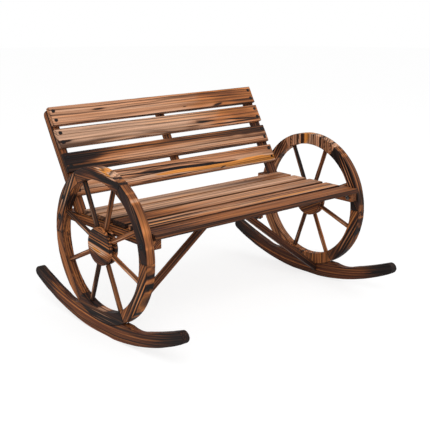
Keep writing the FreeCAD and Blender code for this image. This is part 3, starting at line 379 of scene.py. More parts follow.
def lathe(corners, steps):
    """A turned piece about its own x axis, from the corners (along, radius) of half its section.

    A corner's third number is the step between the points on the run that follows it.
    """
    bm = bmesh.new()
    points = []
    for (x0, r0, *step), (x1, r1, *_) in zip(corners, corners[1:]):
        count = max(1, round(math.dist((x0, r0), (x1, r1)) / step[0])) if step else 1
        points += [(x0 + (x1 - x0) * n / count, r0 + (r1 - r0) * n / count) for n in range(count)]
    verts = [bm.verts.new((x, 0, r)) for x, r in (*points, corners[-1])]
    edges = [bm.edges.new(pair) for pair in zip(verts, verts[1:])]
    bmesh.ops.spin(bm, geom=verts + edges, cent=(0, 0, 0), axis=X_AXIS, angle=2 * math.pi,
                   steps=steps, use_merge=True)
    bmesh.ops.remove_doubles(bm, verts=bm.verts[:], dist=1e-6)
    bmesh.ops.recalc_face_normals(bm, faces=bm.faces[:])
    return bm


def wheel_directions(angle):
    """Two directions in a wheel: at an angle from straight back, and square to it."""
    return (Vector((0, math.cos(angle), math.sin(angle))),
            Vector((0, -math.sin(angle), math.cos(angle))))


def finish_piece(name, bm, matrix, material, slot, *nodes):
    """Turn a mesh into a piece of the bench, in place of the nodes that it stands for."""
    bmesh.ops.transform(bm, matrix=matrix, verts=bm.verts[:])
    for face in bm.faces:
        face.smooth = True
    mesh = bpy.data.meshes.new(name)
    bm.to_mesh(mesh)
    bm.free()
    piece = bpy.data.objects.new(name, mesh)
    bpy.context.scene.collection.objects.link(piece)
    mesh.materials.append(material)
    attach(piece, "root")
    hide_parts(*nodes)
    return piece


def finish_wood(name, kind, node, bm, matrix, figure, **how):
    """Dress a wooden piece and finish it in the flamed wood of its kind."""
    dress(bm, figure, **how)
    material = material_for("flamed_" + kind, flamed_wood, *FLAMING.get(kind, ()))
    finish_piece(name, bm, matrix, material, kind + "_wood", node)


def plain_board(name, kind, node, along, across, figure):
    """A level board that fills its node's box."""
    low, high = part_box(node)
    size = high - low
    bm = board(abs(size.dot(along)), abs(size.dot(across)), size.z)
    top = Vector(((low.x + high.x) / 2, (low.y + high.y) / 2, high.z))
    finish_wood(name, kind, node, bm, axes(top, along, across), figure)


# Materials

class Graph:
    """The nodes of a material or the world, with short ways to add and join them."""

    def __init__(self, owner, output):
        owner.use_nodes = True
        self.tree = owner.node_tree
        self.tree.nodes.clear()
        self.output = self.tree.nodes.new("ShaderNodeOutput" + output).inputs[0]

    def put(self, value, socket):
        """Give a socket a value, or join another socket or a node's first output to it."""
        if isinstance(value, bpy.types.Node):
            value = value.outputs[0]
        if isinstance(value, bpy.types.NodeSocket):
            self.tree.links.new(value, socket)
        elif value is not None:
            socket.default_value = (*value, 1) if socket.type == "RGBA" else value

    def add(self, kind, *inputs, **settings):
        """A node, with its inputs in order or by name, and its settings by name."""
        node = self.tree.nodes.new("ShaderNode" + kind)
        for key, value in settings.items():
            if key in node.inputs:
                self.put(value, node.inputs[key])
            else:
                setattr(node, key, value)
        for value, socket in zip(inputs, node.inputs):
            self.put(value, socket)
        return node

    def maths(self, operation, *inputs, clamp=False):
        return self.add("Math", *inputs, operation=operation, use_clamp=clamp)

    def scaled(self, value, factor, plus=0, clamp=False):
        return self.maths("MULTIPLY_ADD", value, factor, plus, clamp=clamp)

    def ramp(self, factor, *stops):
        """Grey levels by their places on a ramp from 0 to 1."""
        node = self.add("ValToRGB", factor)
        elements = node.color_ramp.elements
        for element, (place, level) in zip(elements, (stops[0], stops[-1])):
            element.position = place
            element.color = (level, level, level, 1)
        for place, level in stops[1:-1]:
            elements.new(place).color = (level, level, level, 1)
        return node

    def blend(self, factor, first, second, mode="MIX"):
        between = [None] * 5
        return self.add("Mix", factor, *between, first, second, data_type="RGBA",
                        blend_type=mode).outputs[2]

    def noise(self, source, scale, detail, rough=0.55):
        return self.add("TexNoise", self.add("Mapping", source, Scale=scale), Scale=1,
                        Detail=detail, Roughness=rough)

    def surface(self, colour, rough, specular=0.5, metallic=0, height=None, strength=0, depth=0):
        """The shader with its bump, joined to the output."""
        shader = self.add("BsdfPrincipled", Metallic=metallic, Roughness=rough,
                          **{"Base Color": colour, "Specular IOR Level": specular})
        if height is not None:
            bump = self.add("Bump", Strength=strength, Distance=depth, Height=height)
            self.put(bump, shader.inputs["Normal"])
        self.put(shader, self.output)

    def white_to_camera(self, lit, seen):
        """What lights the scene, and what the camera and glossy surfaces see instead."""
        path = self.add("LightPath")
        looked_at = self.maths("MAXIMUM", path.outputs["Is Camera Ray"],
                               path.outputs["Is Glossy Ray"])
        self.put(self.add("MixShader", looked_at, lit, seen), self.output)


# Contrast, banding and warmth of the kinds of flamed wood that differ from the others
FLAMING = {"seat": (0.60, 0.50, 0.22), "back": (0.72,)}


def flamed_wood(graph, contrast=1.0, banding=0.85, warmth=0.0):
    """Flamed, brushed and oiled softwood. It reads the attributes that dress() gives a piece."""
    wood = bpy.context.scene.bench_wood
    scaled, ramp, blend = graph.scaled, graph.ramp, graph.blend
    grain = graph.add("Attribute", attribute_name="grain").outputs["Vector"]
    rings, char, tone = (graph.add("Attribute", attribute_name=key).outputs["Fac"]
                         for key in ("rings", "char", "tone"))
    fibre = graph.noise(grain, (5, 620, 620), 3, 0.6)
    streak = graph.noise(grain, (1.1, 130, 130), 4, 0.62)
    cloud = graph.noise(grain, (2.6, 22, 22), 3)

    # Fine lines of late wood, some strong and most faint
    ring = scaled(fibre, 0.15, scaled(streak, 0.7, rings))
    strength = graph.add("TexWhiteNoise", None, graph.maths("FLOOR", ring), noise_dimensions="1D")
    strength = scaled(graph.maths("POWER", strength, 1.5), 1, 0.30)
    line = ramp(graph.maths("FRACT", ring), (0.0, 0.2), (0.06, 0.0), (0.52, 0.06), (0.68, 0.7),
                (0.80, 1.0), (0.94, 1.0), (1.0, 0.2))
    line = scaled(scaled(line, strength), contrast, clamp=True)

    # Wide dark bands that the flame left along the growth rings
    along = graph.add("SeparateXYZ", grain)
    path = graph.add("CombineXYZ", scaled(along, 1.1), scaled(ring, 0.62), 3)
    band = graph.add("TexNoise", path, Scale=1, Detail=2.5, Roughness=0.65)
    dark = ramp(scaled(char, 0.16, band), (0.50, 0.0), (0.60, 0.55), (0.66, 1.0))
    dark = scaled(dark, banding)
    light = ramp(band, (0.30, 1.0), (0.46, 0.0))

    # Early wood between pale and deep, by the piece's own tone, slow clouds and the bands
    mood = scaled(light, 0.35, scaled(cloud, 0.9, warmth - 0.45))
    mood = scaled(mood, 1, tone)
    early = blend(scaled(mood, 1, clamp=True), wood.warm, wood.pale)
    early = blend(scaled(mood, -1, clamp=True), early, wood.deep)
    early = blend(scaled(mood, 2.2, -2.9, clamp=True), early, wood.gold)
    early = blend(1, early, ramp(streak, (0.30, 0.35), (0.5, 0.95), (0.70, 1.35)), "MULTIPLY")
    early = blend(1, early, ramp(fibre, (0.2, 0.62), (0.5, 1.0), (0.8, 1.2)), "MULTIPLY")
    gleam = ramp(graph.noise(grain, (1.5, 230, 230), 2), (0.54, 0.0), (0.62, 1.0))
    early = blend(scaled(gleam, 0.32), early, wood.gold)
    body = blend(line, blend(dark, early, wood.line), wood.line)

    # Burnt places and the painted countersink shade round fastener heads, frayed along the fibres,
    # with brown left where they are thin
    char_and_shade = scaled(streak, 1.1, -1.17)
    for source, share in ((cloud, 0.8), (line, 0.25), (dark, 0.2), (char, 1.25)):
        char_and_shade = scaled(source, share, char_and_shade)
    char_and_shade = ramp(char_and_shade, (0.18, 0.0), (0.38, 0.75), (0.56, 1.0))
    thin = scaled(char, -0.40, 0.50, clamp=True)
    ember = scaled(ramp(streak, (0.50, 0.0), (0.60, 1.0)), thin)
    soot = blend(ramp(fibre, (0.46, 0.0), (0.80, 1.0)), wood.char, wood.ash)
    soot = blend(scaled(gleam, thin), blend(ember, soot, wood.deep), wood.warm)

    height = scaled(streak, 0.4, scaled(fibre, 0.5, scaled(line, 0.6)))
    graph.surface(blend(char_and_shade, body, soot), scaled(fibre, 0.3, 0.47), specular=0.10,
                  height=height, strength=0.55, depth=0.0008)


BLACK_STEEL = (0.0045, 0.0047, 0.006)
ZINC_STEEL = (0.17, 0.17, 0.165)


def steel(graph, colour, rough, metallic):
    """Steel with a faint mottled finish and fine scratches, on Object coordinates."""
    place = graph.add("TexCoord").outputs["Object"]
    scratch = graph.noise(place, (90, 1700, 900), 3)
    mottle = graph.ramp(graph.noise(place, (260, 260, 260), 4), (0.25, 0.7), (0.75, 1.15))
    graph.surface(graph.blend(1, colour, mottle, "MULTIPLY"),
                  graph.scaled(scratch, 0.25, rough - 0.12), specular=0.2, metallic=metallic,
                  height=scratch, strength=0.25, depth=0.0002)


def beech(graph):
    """Plain beech of the dowels, on Object coordinates."""
    flecks = graph.noise(graph.add("TexCoord").outputs["Object"], (500, 120, 500), 3)
    fleck = graph.ramp(flecks, (0.35, 0.0), (0.7, 1.0))
    graph.surface(graph.blend(fleck, (0.60, 0.40, 0.24), (0.42, 0.25, 0.13)), 0.6)


def material_for(name, make, *values):
    """A material by name, made once."""
    material = bpy.data.materials.get(name)
    if material is None:
        material = bpy.data.materials.new(name)
        make(Graph(material, "Material"), *values)
    return material


# Seat and back

SEAT_FIGURES = (
    log(11, -0.7, 0.27, (-300, 10, 160, 2.5, 1, -0.9), (50, 20, 250, 2.5, 1.2, -0.9),
        (300, 2, 200, 2, 0.8, -0.7), (-100, -12, 300, 3, 0.6, -0.5), (-420, 0, 140, 40, -0.6, 0.2),
        spacing=0.0095, stretch=(0.55, 1), edge_char=0.4, skin=(-0.3, 0.2)),
    log(12, 0.05, 0.12, (-360, 10, 180, 5, -0.6, 1.4), (-420, -20, 160, 5, -0.6, 1.4),
        (-360, 28, 200, 6, 0.8, -0.6), (-380, -6, 180, 6, 1.9, -0.9), (-80, -4, 120, 8, 1.6, -0.6),
        (250, -20, 250, 6, 2.6, -1), (200, 12, 220, 4, 0, 0.8), (50, -14, 200, 3, 0, 0.9, -0.01),
        spacing=0.014, stretch=(0.55, 1), skin=(-0.6, 0.5)),
    log(13, 0.25, 0.06, (-420, 0, 150, 50, -1.2, 0.4), (100, -14, 250, 4, 1.4, -0.5),
        (200, 16, 300, 3, 0, 0.6), spacing=0.013, stretch=(0.55, 1), skin=(-0.6, 0.5)),
    log(14, 0.65, -0.04, (150, 10, 250, 3, 0, 0.6), (-200, -20, 250, 2, 0, 0.6), spacing=0.013,
        stretch=(0.55, 1), skin=(-0.6, 0.5)),
    log(15, 1.05, -0.1, (380, 0, 200, 50, -1.05, 0.05), (0, -16, 500, 2, 0, 0.5),
        knots=((260, 6, 3),), spacing=0.014, stretch=(0.55, 1), skin=(-0.6, 0.5)),
)


class BENCH_OT_seat_slats(Operator):
    """Five slats across the seat"""
    bl_idname = "bench.seat_slats"
    bl_label = "Seat slats"

    def execute(self, context):
        for n, figure in enumerate(SEAT_FIGURES, start=1):
            plain_board(f"seat_board_{n}", "seat", f"seat_slat_{n}", X_AXIS, Y_AXIS, figure)
        return {"FINISHED"}


BACK_FIGURES = (
    log(21, 0.55, -0.06, (-380, 0, 200, 60, -0.15, 0), (-285, 8, 30, 5, -0.3, 0.65),
        (360, 0, 200, 60, -1.1, 0.1), (320, 8, 80, 1.3, 0, 1.1, -0.03),
        (285, -26, 22, 4, 0, 0.9, 0.12), (110, -21, 14, 3, 0, 0.8), (0, -34, 600, 3, 0, 0.5),
        (0, -4, 250, 4, 0.4, -0.3), skin=(-0.3, 0.2)),
    log(22, 1.12, -0.08, (165, -4, 55, 9, -0.5, 0.55, 0.03), (200, -10, 40, 3, -0.2, 0.8),
        (380, 10, 180, 40, -1.85, 0.05), (120, -21, 35, 2, 0, 0.9), (0, -30, 600, 6, -0.5, 0.25),
        (400, -16, 130, 4, 0, 1, -0.04), (360, -26, 150, 3, 0, 1), (-460, -12, 30, 5, -0.2, 0.7),
        skin=(-0.3, 0.2)),
    log(23, 0.3, 0.16, (-480, 4, 130, 50, -1.1, 0.7), (0, 22, 800, 12, -0.3, 0.24),
        (400, 22, 160, 13, -0.5, 0.6), (50, -12, 500, 14, 0.4, -0.15),
        (-100, -30, 500, 3, -0.2, 0.5), (-400, -22, 140, 4, 0, 0.6),
        (280, -13, 200, 2, 1, -1, -0.011), skin=(-0.3, 0.2)),
    log(24, 0.38, 0.06, (0, -12.5, 115, 6.4, 3.6, -1.6, -0.02),
        (180, -18, 130, 8.4, 3.2, -1.3, -0.02), (380, -19, 150, 13.5, 2.8, -1.3),
        (50, -2.2, 170, 4, -2, 4.5, -0.03), (-120, 22, 220, 2.5, 0, 0.9, -0.02),
        (-260, 8, 140, 1.8, 0, 0.9, -0.03), (-200, -6, 120, 1.6, 0, 0.9, 0.03),
        (120, -24, 260, 2, -0.4, 1.1, 0.01), (380, 22, 140, 9, -0.4, 0.15),
        (-330, 14, 120, 3, 1.4, -0.5), (-280, -14, 140, 5, 1.2, -0.5),
        (200, -25, 18, 3, -0.6, 1.6, 0.2), (-100, -32, 500, 4, -0.5, 0.25), pith=(0.004, -0.02),
        spacing=0.0052, wander=0.006, skin=(-0.3, 0.2)),
)


def slat_top(n):
    """The middle of a back slat's upper front edge."""
    return BACK_TOP - BACK_UP * (n * (BACK_WIDTH + BACK_GAP) - (SECOND_SLAT_RISE if n == 1 else 0))


class BENCH_OT_back_slats(Operator):
    """Four slats across the leaning back"""
    bl_idname = "bench.back_slats"
    bl_label = "Back slats"

    def execute(self, context):
        dimples = [(Vector((x, BACK_WIDTH / 2 - down, 0)), context.scene.bench_sizes.screw_head / 2)
                   for x in BACK_SCREW_X for down in BACK_SCREW_DOWN]
        for n, figure in enumerate(BACK_FIGURES):
            node = f"back_slat_{n + 1}"
            low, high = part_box(node)
            bm = board(high.x - low.x, BACK_WIDTH, SLAT)
            middle = slat_top(n) - BACK_UP * BACK_WIDTH / 2
            finish_wood(f"back_board_{n + 1}", "back", node, bm, axes(middle, X_AXIS, BACK_UP),
                        figure, dimples=dimples)
        return {"FINISHED"}


class BENCH_OT_frame(Operator):
    """Side rails, side posts, middle post, centre batten and braces"""
    bl_idname = "bench.frame"
    bl_label = "Frame"

    def execute(self, context):
        posts = log(33, -0.65, 0.20), log(34, -0.90, 0.40)
        for k, (side, sign) in enumerate(SIDES.items()):
            plain_board(f"{side}_rail", "frame", f"{side}_side_rail", Y_AXIS, -X_AXIS,
                        log(31 + k, -0.55, 0.28))
            self.post(side, posts[k])
            self.brace(side, sign, log(35 + k, -0.75, 0.32, (-260, 0, 120, 50, -0.2, 0.3),
                                       (0, 3, 400, 1.5, 0.9, -0.6), edge_char=0.6))
        plain_board("seat_batten", "frame", "centre_batten", Y_AXIS, -X_AXIS, log(37, -0.3, 0.30))
        self.middle_post(log(38, -0.55, 0.26))
        return {"FINISHED"}

    def post(self, side, figure):
        """The foot is cut level where it stands on the rail, and the top is rounded behind."""
        node = f"{side}_side_post"
        low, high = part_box(node)
        front, rear = BACK_TOP - BACK_OUT * SLAT, BACK_TOP - BACK_OUT * (SLAT + POST)
        corners = [face + BACK_UP * ((SEAT_UNDERSIDE - face.z) / BACK_UP.z)
                   for face in (front, rear)]
        corners += [face - BACK_UP * POST_DROP for face in (rear, front)]
        origin = Vector(((low.x + high.x) / 2, front.y, front.z))
        matrix = axes(origin, BACK_UP, -X_AXIS)
        bm = prism(matrix, corners, high.x - low.x, (2, POST_ROUNDING))
        finish_wood(f"{side}_post", "frame", node, bm, matrix, figure, thin_axis=Y_AXIS)

    def brace(self, side, sign, figure):
        """It runs from the centre batten down to the rocker. Its foot is notched for the rim."""
        node = f"{side}_brace"
        low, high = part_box(node)
        inner, outer = BATTEN_WIDTH / 2, max(abs(low.x), abs(high.x))
        notch, notch_z = RIM_LOW.x - BRACE_NOTCH_GAP, BRACE_NOTCH_Z
        foot_z, head_z = BRACE_FOOT_Z, SEAT_UNDERSIDE
        slope = (head_z - foot_z) / (outer - inner)
        half_height = BRACE / 2 * math.hypot(1, slope)
        outline = [(inner, head_z - half_height), (outer, foot_z - half_height), (outer, notch_z),
                   (notch, notch_z), (notch, foot_z + half_height + slope * (outer - notch)),
                   (inner + half_height / slope, head_z), (inner, head_z)]
        y = (low.y + high.y) / 2
        corners = [Vector((sign * x, y, z)) for x, z in outline]
        along = Vector((-sign * (outer - inner), 0, head_z - foot_z)).normalized()
        middle = Vector((sign * (inner + outer) / 2, y, (head_z + foot_z) / 2))
        matrix = axes(middle, along, Y_AXIS)
        bm = prism(matrix, corners, high.y - low.y, ease=BRACE_EDGE)
        finish_wood(f"{side}_strut", "frame", node, bm, matrix, figure)

    def middle_post(self, figure):
        run = BACK_SLOPE - POST_DROP - MIDDLE_POST_FOOT
        middle = BACK_TOP - BACK_UP * (POST_DROP + run / 2) - BACK_OUT * SLAT
        finish_wood("back_middle_post", "frame", "middle_post",
                    board(run, BATTEN_WIDTH, BATTEN), axes(middle, BACK_UP, -X_AXIS), figure)


# Wheels

# How each rim segment was sawn and flamed, from straight back turning up
RIM_FIGURES = {
    "left": (
        log(51, -0.25, 0.18, (60, -20, 80, 3.6, 0, 1.3), (50, -7, 80, 3.8, 0, 1.3),
            (40, 6, 80, 3.4, 0, 1.3), (30, 18, 80, 3, 0, 1.1), (50, -13.5, 70, 3, 2.4, -0.9),
            (40, 0, 70, 3, 2.2, -0.9), (-100, 0, 40, 30, -0.4, 0.1), skin=(0.1, 0)),
        log(52, -0.62, 0.26, (20, -6, 60, 5.5, -0.2, 1.3, -0.14),
            (100, -14, 50, 9, -0.3, 1.5, -0.15), (50, 13, 60, 8.5, 3, -1.4, -0.2),
            (60, 12, 30, 1.4, -0.5, 1, 0.35), (90, 4, 50, 1.5, 0, 1, -0.2),
            (-100, 4, 50, 22, -0.5, 0.35), pith=(-0.2, -0.05), skin=(-0.2, 0.1)),
        log(53, -0.45, 0.84, (-60, 12, 70, 1.8, 1.2, -1.3), (20, 7, 60, 1.4, 1, -1.2),
            (-40, 2, 60, 1.2, 1.2, -1.1), (70, 20, 50, 3, 0.9, -1), pith=(0, -0.2), spacing=0.015,
            stretch=(0.12, 0.5), skin=(0.1, -0.6)),
        log(54, -0.4, 0.26, (0, -12, 100, 3, 0, 1.1), (20, 2, 100, 2.8, 0, 1.1),
            (-20, 14, 90, 2.5, 0, 1), (0, -5, 100, 2.5, 1.1, -0.6), (0, 8, 100, 2, 0.9, -0.5),
            pith=(-0.25, 0), spacing=0.009, stretch=(1, 0.12)),
        log(55, -0.45, 0.76, (0, -10, 90, 1.6, 1.4, -1.1), (-30, 4, 80, 1.4, 1.3, -1.1),
            (20, -22, 80, 1.4, 1.2, -0.9), (30, 14, 80, 1.4, 1.2, -0.9), pith=(0, -0.2),
            spacing=0.012, stretch=(0.3, 1), skin=(0.1, -0.1)),
        log(56, -0.3, 0.12),
    ),
    "right": (
        log(61, 0.3, 0.02, (90, -26, 50, 3.5, 0, 1.1), (80, -14, 50, 3.5, 0, 1.1),
            (70, -2, 50, 3.5, 0, 1.1), (60, 10, 50, 3.5, 0, 1), skin=(0, 0.1)),
        log(62, 0.45, -0.08, (0, -99, 60, 2, 0, 1.2), (0, -60, 60, 4, 0, 1.3),
            (0, 23, 60, 2.2, 0, 1.1), (0, 62, 60, 4, 0, 1.3), (0, 84, 60, 2.2, 0, 1.1),
            (0, 113, 60, 3, 0, 1.2), (0, -20, 60, 32, 1.5, -0.5), spacing=0.0085, cross=True,
            skin=(0.2, 0)),
        log(63, -0.45, 0.62, (0, -6, 90, 1.6, 1.3, -1.1), (-30, 6, 80, 1.4, 1.2, -1.1),
            (30, -18, 80, 1.4, 1.2, -1), (90, 0, 30, 30, 0, 0.4), pith=(0, -0.2), spacing=0.012,
            stretch=(0.12, 1), skin=(0, -0.22)),
        log(64, -0.45, 0.3, (90, 0, 40, 30, -0.1, 0.4), (0, -10, 100, 3, 0, 1.1),
            (0, 4, 100, 3, 0, 1.1), (0, 15, 80, 2.5, 0, 1), (0, -3, 100, 2.2, 1.1, -0.6),
            stretch=(1, 0.3), skin=(-0.1, 0.1)),
        log(65, -0.1, 0.1, (0, -30, 60, 3, 0, 1), (0, -5, 60, 2.5, 0, 1), (0, 20, 60, 3.5, 0, 1.1),
            (0, 45, 60, 2.5, 0, 1), spacing=0.0085, cross=True, skin=(0.1, -0.1)),
        log(66, 0.2, 0.02, skin=(0.1, 0)),
    ),
}


class BENCH_OT_rims(Operator):
    """Six curved segments in each wheel's rim"""
    bl_idname = "bench.rims"
    bl_label = "Rims"

    def execute(self, context):
        for side, sign in SIDES.items():
            for n, figure in enumerate(RIM_FIGURES[side]):
                self.segment(context.scene.bench_sizes, side, sign, n, figure)
        return {"FINISHED"}

    def segment(self, sizes, side, sign, n, figure):
        span = 2 * math.pi / RIM_SEGMENTS
        mid_radius = (WHEEL_RADIUS + WHEEL_BORE) / 2
        half_depth = (WHEEL_RADIUS - WHEEL_BORE) / 2
        bm = bmesh.new()
        verts = [bm.verts.new((a * HALF_RIM, mid_radius + b * half_depth, 0))
                 for a, b in ((-1, -1), (1, -1), (1, 1), (-1, 1))]
        bm.faces.new(verts)
        bevel(bm, verts, sizes.edge, affect="VERTICES")
        bmesh.ops.delete(bm, geom=bm.faces[:], context="FACES_ONLY")
        for axis, half in enumerate((HALF_RIM, half_depth)):
            divide(bm, axis, 2 * (half - sizes.edge), sizes.across)
        bmesh.ops.rotate(bm, cent=(0, 0, 0), matrix=Matrix.Rotation(n * span, 3, "X"),
                         verts=bm.verts[:])
        bmesh.ops.spin(bm, geom=bm.verts[:] + bm.edges[:], cent=(0, 0, 0), axis=X_AXIS,
                       angle=span, steps=round(mid_radius * span / sizes.along))
        open_edges = [e for e in bm.edges if e.is_boundary]
        caps = bmesh.ops.holes_fill(bm, edges=open_edges, sides=0)["faces"]
        bmesh.ops.recalc_face_normals(bm, faces=bm.faces[:])
        bevel(bm, [e for cap in caps for e in cap.edges], JOINT_EDGE, segments=1)
        out, along = wheel_directions((n + 0.5) * span)

        def to_wood(co):
            around, outward = co.dot(along), co.dot(out) - mid_radius
            place = (outward, around) if figure["cross"] else (around, outward)
            return *place, sign * co.x - HALF_RIM

        dimples = [(Vector((sign * HALF_RIM, y, z - WHEEL_Z)), sizes.bolt_head / 2)
                   for y, z in RIM_BOLTS]
        finish_wood(f"{side}_felloe_{n + 1}", "rim", f"{side}_rim_segment_{n + 1}", bm,
                    Matrix.Translation((sign * RIM_X, 0, WHEEL_Z)), figure, to_wood=to_wood,
                    thin_axis=X_AXIS, dimples=dimples)


# Tone and char of the spokes, from straight back turning up
SPOKE_FLAMING = ((-0.50, 0.34), (0.0, 0.55), (-0.45, 0.24), (-0.35, 0.10),
                 (-0.05, 0.04), (-0.25, 0.04), (0.0, 0.55), (-0.30, 0.10))
FIRST_SPOKE = math.radians(20)


class BENCH_OT_spokes(Operator):
    """Eight turned spokes in each wheel"""
    bl_idname = "bench.spokes"
    bl_label = "Spokes"

    def execute(self, context):
        spokes = len(SPOKE_FLAMING)
        for k, (side, sign) in enumerate(SIDES.items()):
            for n, (tone, char) in enumerate(SPOKE_FLAMING):
                figure = log(71 + spokes * k + n, tone, char, (110, 3, 50, 1.4, 1.8, -1.3),
                             (180, -3, 40, 1.2, 1.8, -1.3), spacing=0.0042)
                self.spoke(side, sign, n, FIRST_SPOKE + 2 * math.pi * n / spokes, figure)
        return {"FINISHED"}

    def spoke(self, side, sign, n, angle, figure):
        """A stick between hub and rim, with a thinner tenon at both ends."""
        thick, thin, ease = 0.009, 0.0049, 0.0006
        inner, outer, shoulder = 0.0362, 0.2465, 0.2263
        bm = lathe(((inner, 0), (inner, thin, 0.01), (HUB_RADIUS, thin),
                    (HUB_RADIUS, thick - ease), (HUB_RADIUS + ease, thick, 0.004),
                    (shoulder - ease, thick), (shoulder, thick - ease), (shoulder, thin, 0.01),
                    (outer, thin), (outer, 0)), SPOKE_SIDES)
        matrix = axes(Vector((sign * RIM_X, 0, WHEEL_Z)), *wheel_directions(angle))
        finish_wood(f"{side}_wheel_spoke_{n + 1}", "spoke", f"{side}_spoke_{n + 1}", bm, matrix,
                    figure)


# Seed, tone, char and marks of the hub discs
HUB_FLAMING = {
    "left": (91, -0.2, 0.08, (0, 50, 100, 2.8, 0, 1.2), (0, 40, 100, 2.6, 0, 1.2),
             (0, 30, 100, 2.6, 0, 1.2), (0, 20, 100, 2.4, 0, 1.1), (0, 5, 100, 6, 0, 1.6),
             (10, -14, 50, 11, 2.4, -1), (0, -32, 50, 3, -0.4, 1.1, 0.2),
             (0, -46, 100, 18, -2, 0.3)),
    "right": (93, -0.5, 0.14),
}
HUB_SKIN = {"left": (0.2, 0), "right": (0, 0.1)}
HUB_LEAN = {"left": math.radians(7), "right": math.radians(-25)}
HUB_DISC = 0.013
HUB_CORE = 0.036


class BENCH_OT_hubs(Operator):
    """Outer and inner hub disc of each wheel"""
    bl_idname = "bench.hubs"
    bl_label = "Hubs"

    def execute(self, context):
        ease = context.scene.bench_sizes.edge
        for side, sign in SIDES.items():
            for number, which in enumerate(("outer", "inner")):
                seed, *flaming = HUB_FLAMING[side]
                figure = log(seed + number, *flaming, spacing=0.0060, pith=(0.012, -0.022),
                             skin=HUB_SKIN[side])
                self.disc(ease, side, sign, which, figure)
        return {"FINISHED"}

    def disc(self, ease, side, sign, which, figure):
        """The face that shows is eased. The inner disc has the core between the spokes."""
        step, first_step = 0.0025, 0.002
        node = f"{side}_hub_{which}_disc"
        low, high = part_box(node)
        near, far = sorted((abs(low.x), abs(high.x)))
        face, way = (sign * far, -sign) if which == "outer" else (sign * near, sign)
        back, core_end = face + way * HUB_DISC, face + way * (high.x - low.x)
        corners = [(face, 0, step)]
        for k in range(4):
            turn = math.pi / 2 * k / 3
            corners.append((face + way * ease * (1 - math.cos(turn)),
                            HUB_RADIUS - ease * (1 - math.sin(turn))))
        corners += [(face + way * (ease + first_step), HUB_RADIUS, step), (back, HUB_RADIUS, step)]
        if which == "inner":
            corners += [(back, HUB_CORE), (core_end, HUB_CORE), (core_end, 0)]
        else:
            corners.append((back, 0))
        along, out = wheel_directions(HUB_LEAN[side])

        def to_wood(co):
            return co.dot(along), co.dot(out), (face - co.x) * way

        finish_wood(f"{side}_{which}_hub", "hub", node, lathe(corners, HUB_SIDES),
                    Matrix.Translation((0, 0, WHEEL_Z)), figure, to_wood=to_wood,
                    thin_axis=X_AXIS)


# Rockers

ROCKER_RADIUS = 0.9586
REST_FLAT = 0.140
TIP = 0.021
TIP_Y = ROCKER_HIGH.y - TIP
ARM_RADIUS = 2.0
ARM_ROOT = (0.245, 0.079)
CRADLE_END = 0.152
CRADLE_TOP = 0.072
CRADLE_RADIUS = WHEEL_RADIUS + 0.0001
HOLLOW_RADIUS = 0.150
GRAIN_HEIGHT, GRAIN_BEND = 0.030, 0.8
ROCKER_CENTRE_Z = math.sqrt(ROCKER_RADIUS ** 2 - (REST_FLAT / 2) ** 2)
TIP_LEAN = math.asin(TIP_Y / (ROCKER_RADIUS - TIP))
TIP_Z = ROCKER_CENTRE_Z - (ROCKER_RADIUS - TIP) * math.cos(TIP_LEAN)
CRADLE_Y = math.sqrt(CRADLE_RADIUS ** 2 - (WHEEL_Z - CRADLE_TOP) ** 2)
ARM_TIP = (TIP_Y - TIP * math.sin(TIP_LEAN), TIP_Z + TIP * math.cos(TIP_LEAN))
ROCKER_FIGURES = {
    "left": log(81, -0.85, 0.24, (-420, 0, 80, 60, -0.6, 1), (420, 0, 80, 60, -0.6, 1.1),
                (100, 12, 200, 1.2, 1.2, -0.8), (-200, 4, 140, 1.2, 1.2, -0.8),
                (220, -10, 160, 1.2, 1.2, -0.8), (-50, -14, 160, 1.2, 1, -0.7)),
    "right": log(83, -1, 0.3, (-420, 0, 80, 60, -0.6, 1), (420, 0, 80, 60, -0.6, 1),
                 (-250, 6, 140, 1.2, 1.2, -0.8), (150, -4, 200, 1.2, 1.2, -0.8),
                 (0, 12, 160, 1.2, 1, -0.7)),
}


def sagging(start, end, radius, y):
    """Height at y on a hollow arc between two points of an outline."""
    (y0, z0), (y1, z1) = start, end
    chord = math.hypot(y1 - y0, z1 - z0)
    rise = math.sqrt(radius ** 2 - (chord / 2) ** 2)
    centre_y = (y0 + y1) / 2 - (z1 - z0) / chord * rise
    centre_z = (z0 + z1) / 2 + (y1 - y0) / chord * rise
    return centre_z - math.sqrt(radius ** 2 - (y - centre_y) ** 2)


def under_rocker(y):
    """Underside of a rocker: level in the middle, then an arc, then the round tip."""
    y = abs(y)
    if y <= REST_FLAT / 2:
        return 0.0
    if y <= TIP_Y + TIP * math.sin(TIP_LEAN):
        return ROCKER_CENTRE_Z - math.sqrt(ROCKER_RADIUS ** 2 - y * y)
    return TIP_Z - math.sqrt(max(0.0, TIP ** 2 - (y - TIP_Y) ** 2))


def over_rocker(y):
    """Top of a rocker: the cradle under the rim, its shoulder, the hollow, the arm and tip."""
    y = abs(y)
    if y <= CRADLE_Y:
        return WHEEL_Z - math.sqrt(CRADLE_RADIUS ** 2 - y * y)
    if y <= CRADLE_END:
        return CRADLE_TOP
    if y <= ARM_ROOT[0]:
        return sagging((CRADLE_END, CRADLE_TOP), ARM_ROOT, HOLLOW_RADIUS, y)
    if y <= ARM_TIP[0]:
        return sagging(ARM_ROOT, ARM_TIP, ARM_RADIUS, y)
    return TIP_Z + math.sqrt(max(0.0, TIP ** 2 - (y - TIP_Y) ** 2))


def rocker_stations():
    """Places along a rocker, with one at each corner of its outline."""
    corners = [0, REST_FLAT / 2, CRADLE_Y, CRADLE_END, ARM_ROOT[0], ARM_TIP[0]]
    stations = []
    for start, end in zip(corners, corners[1:]):
        count = max(2, round((end - start) / ROCKER_STEP))
        stations += [start + (end - start) * n / count for n in range(count)]
    round_end = ROCKER_HIGH.y - ARM_TIP[0]
    stations += [ARM_TIP[0] + round_end * math.sin(math.pi / 2 * n / 12) for n in range(13)]
    return [-y for y in reversed(stations[1:])] + stations


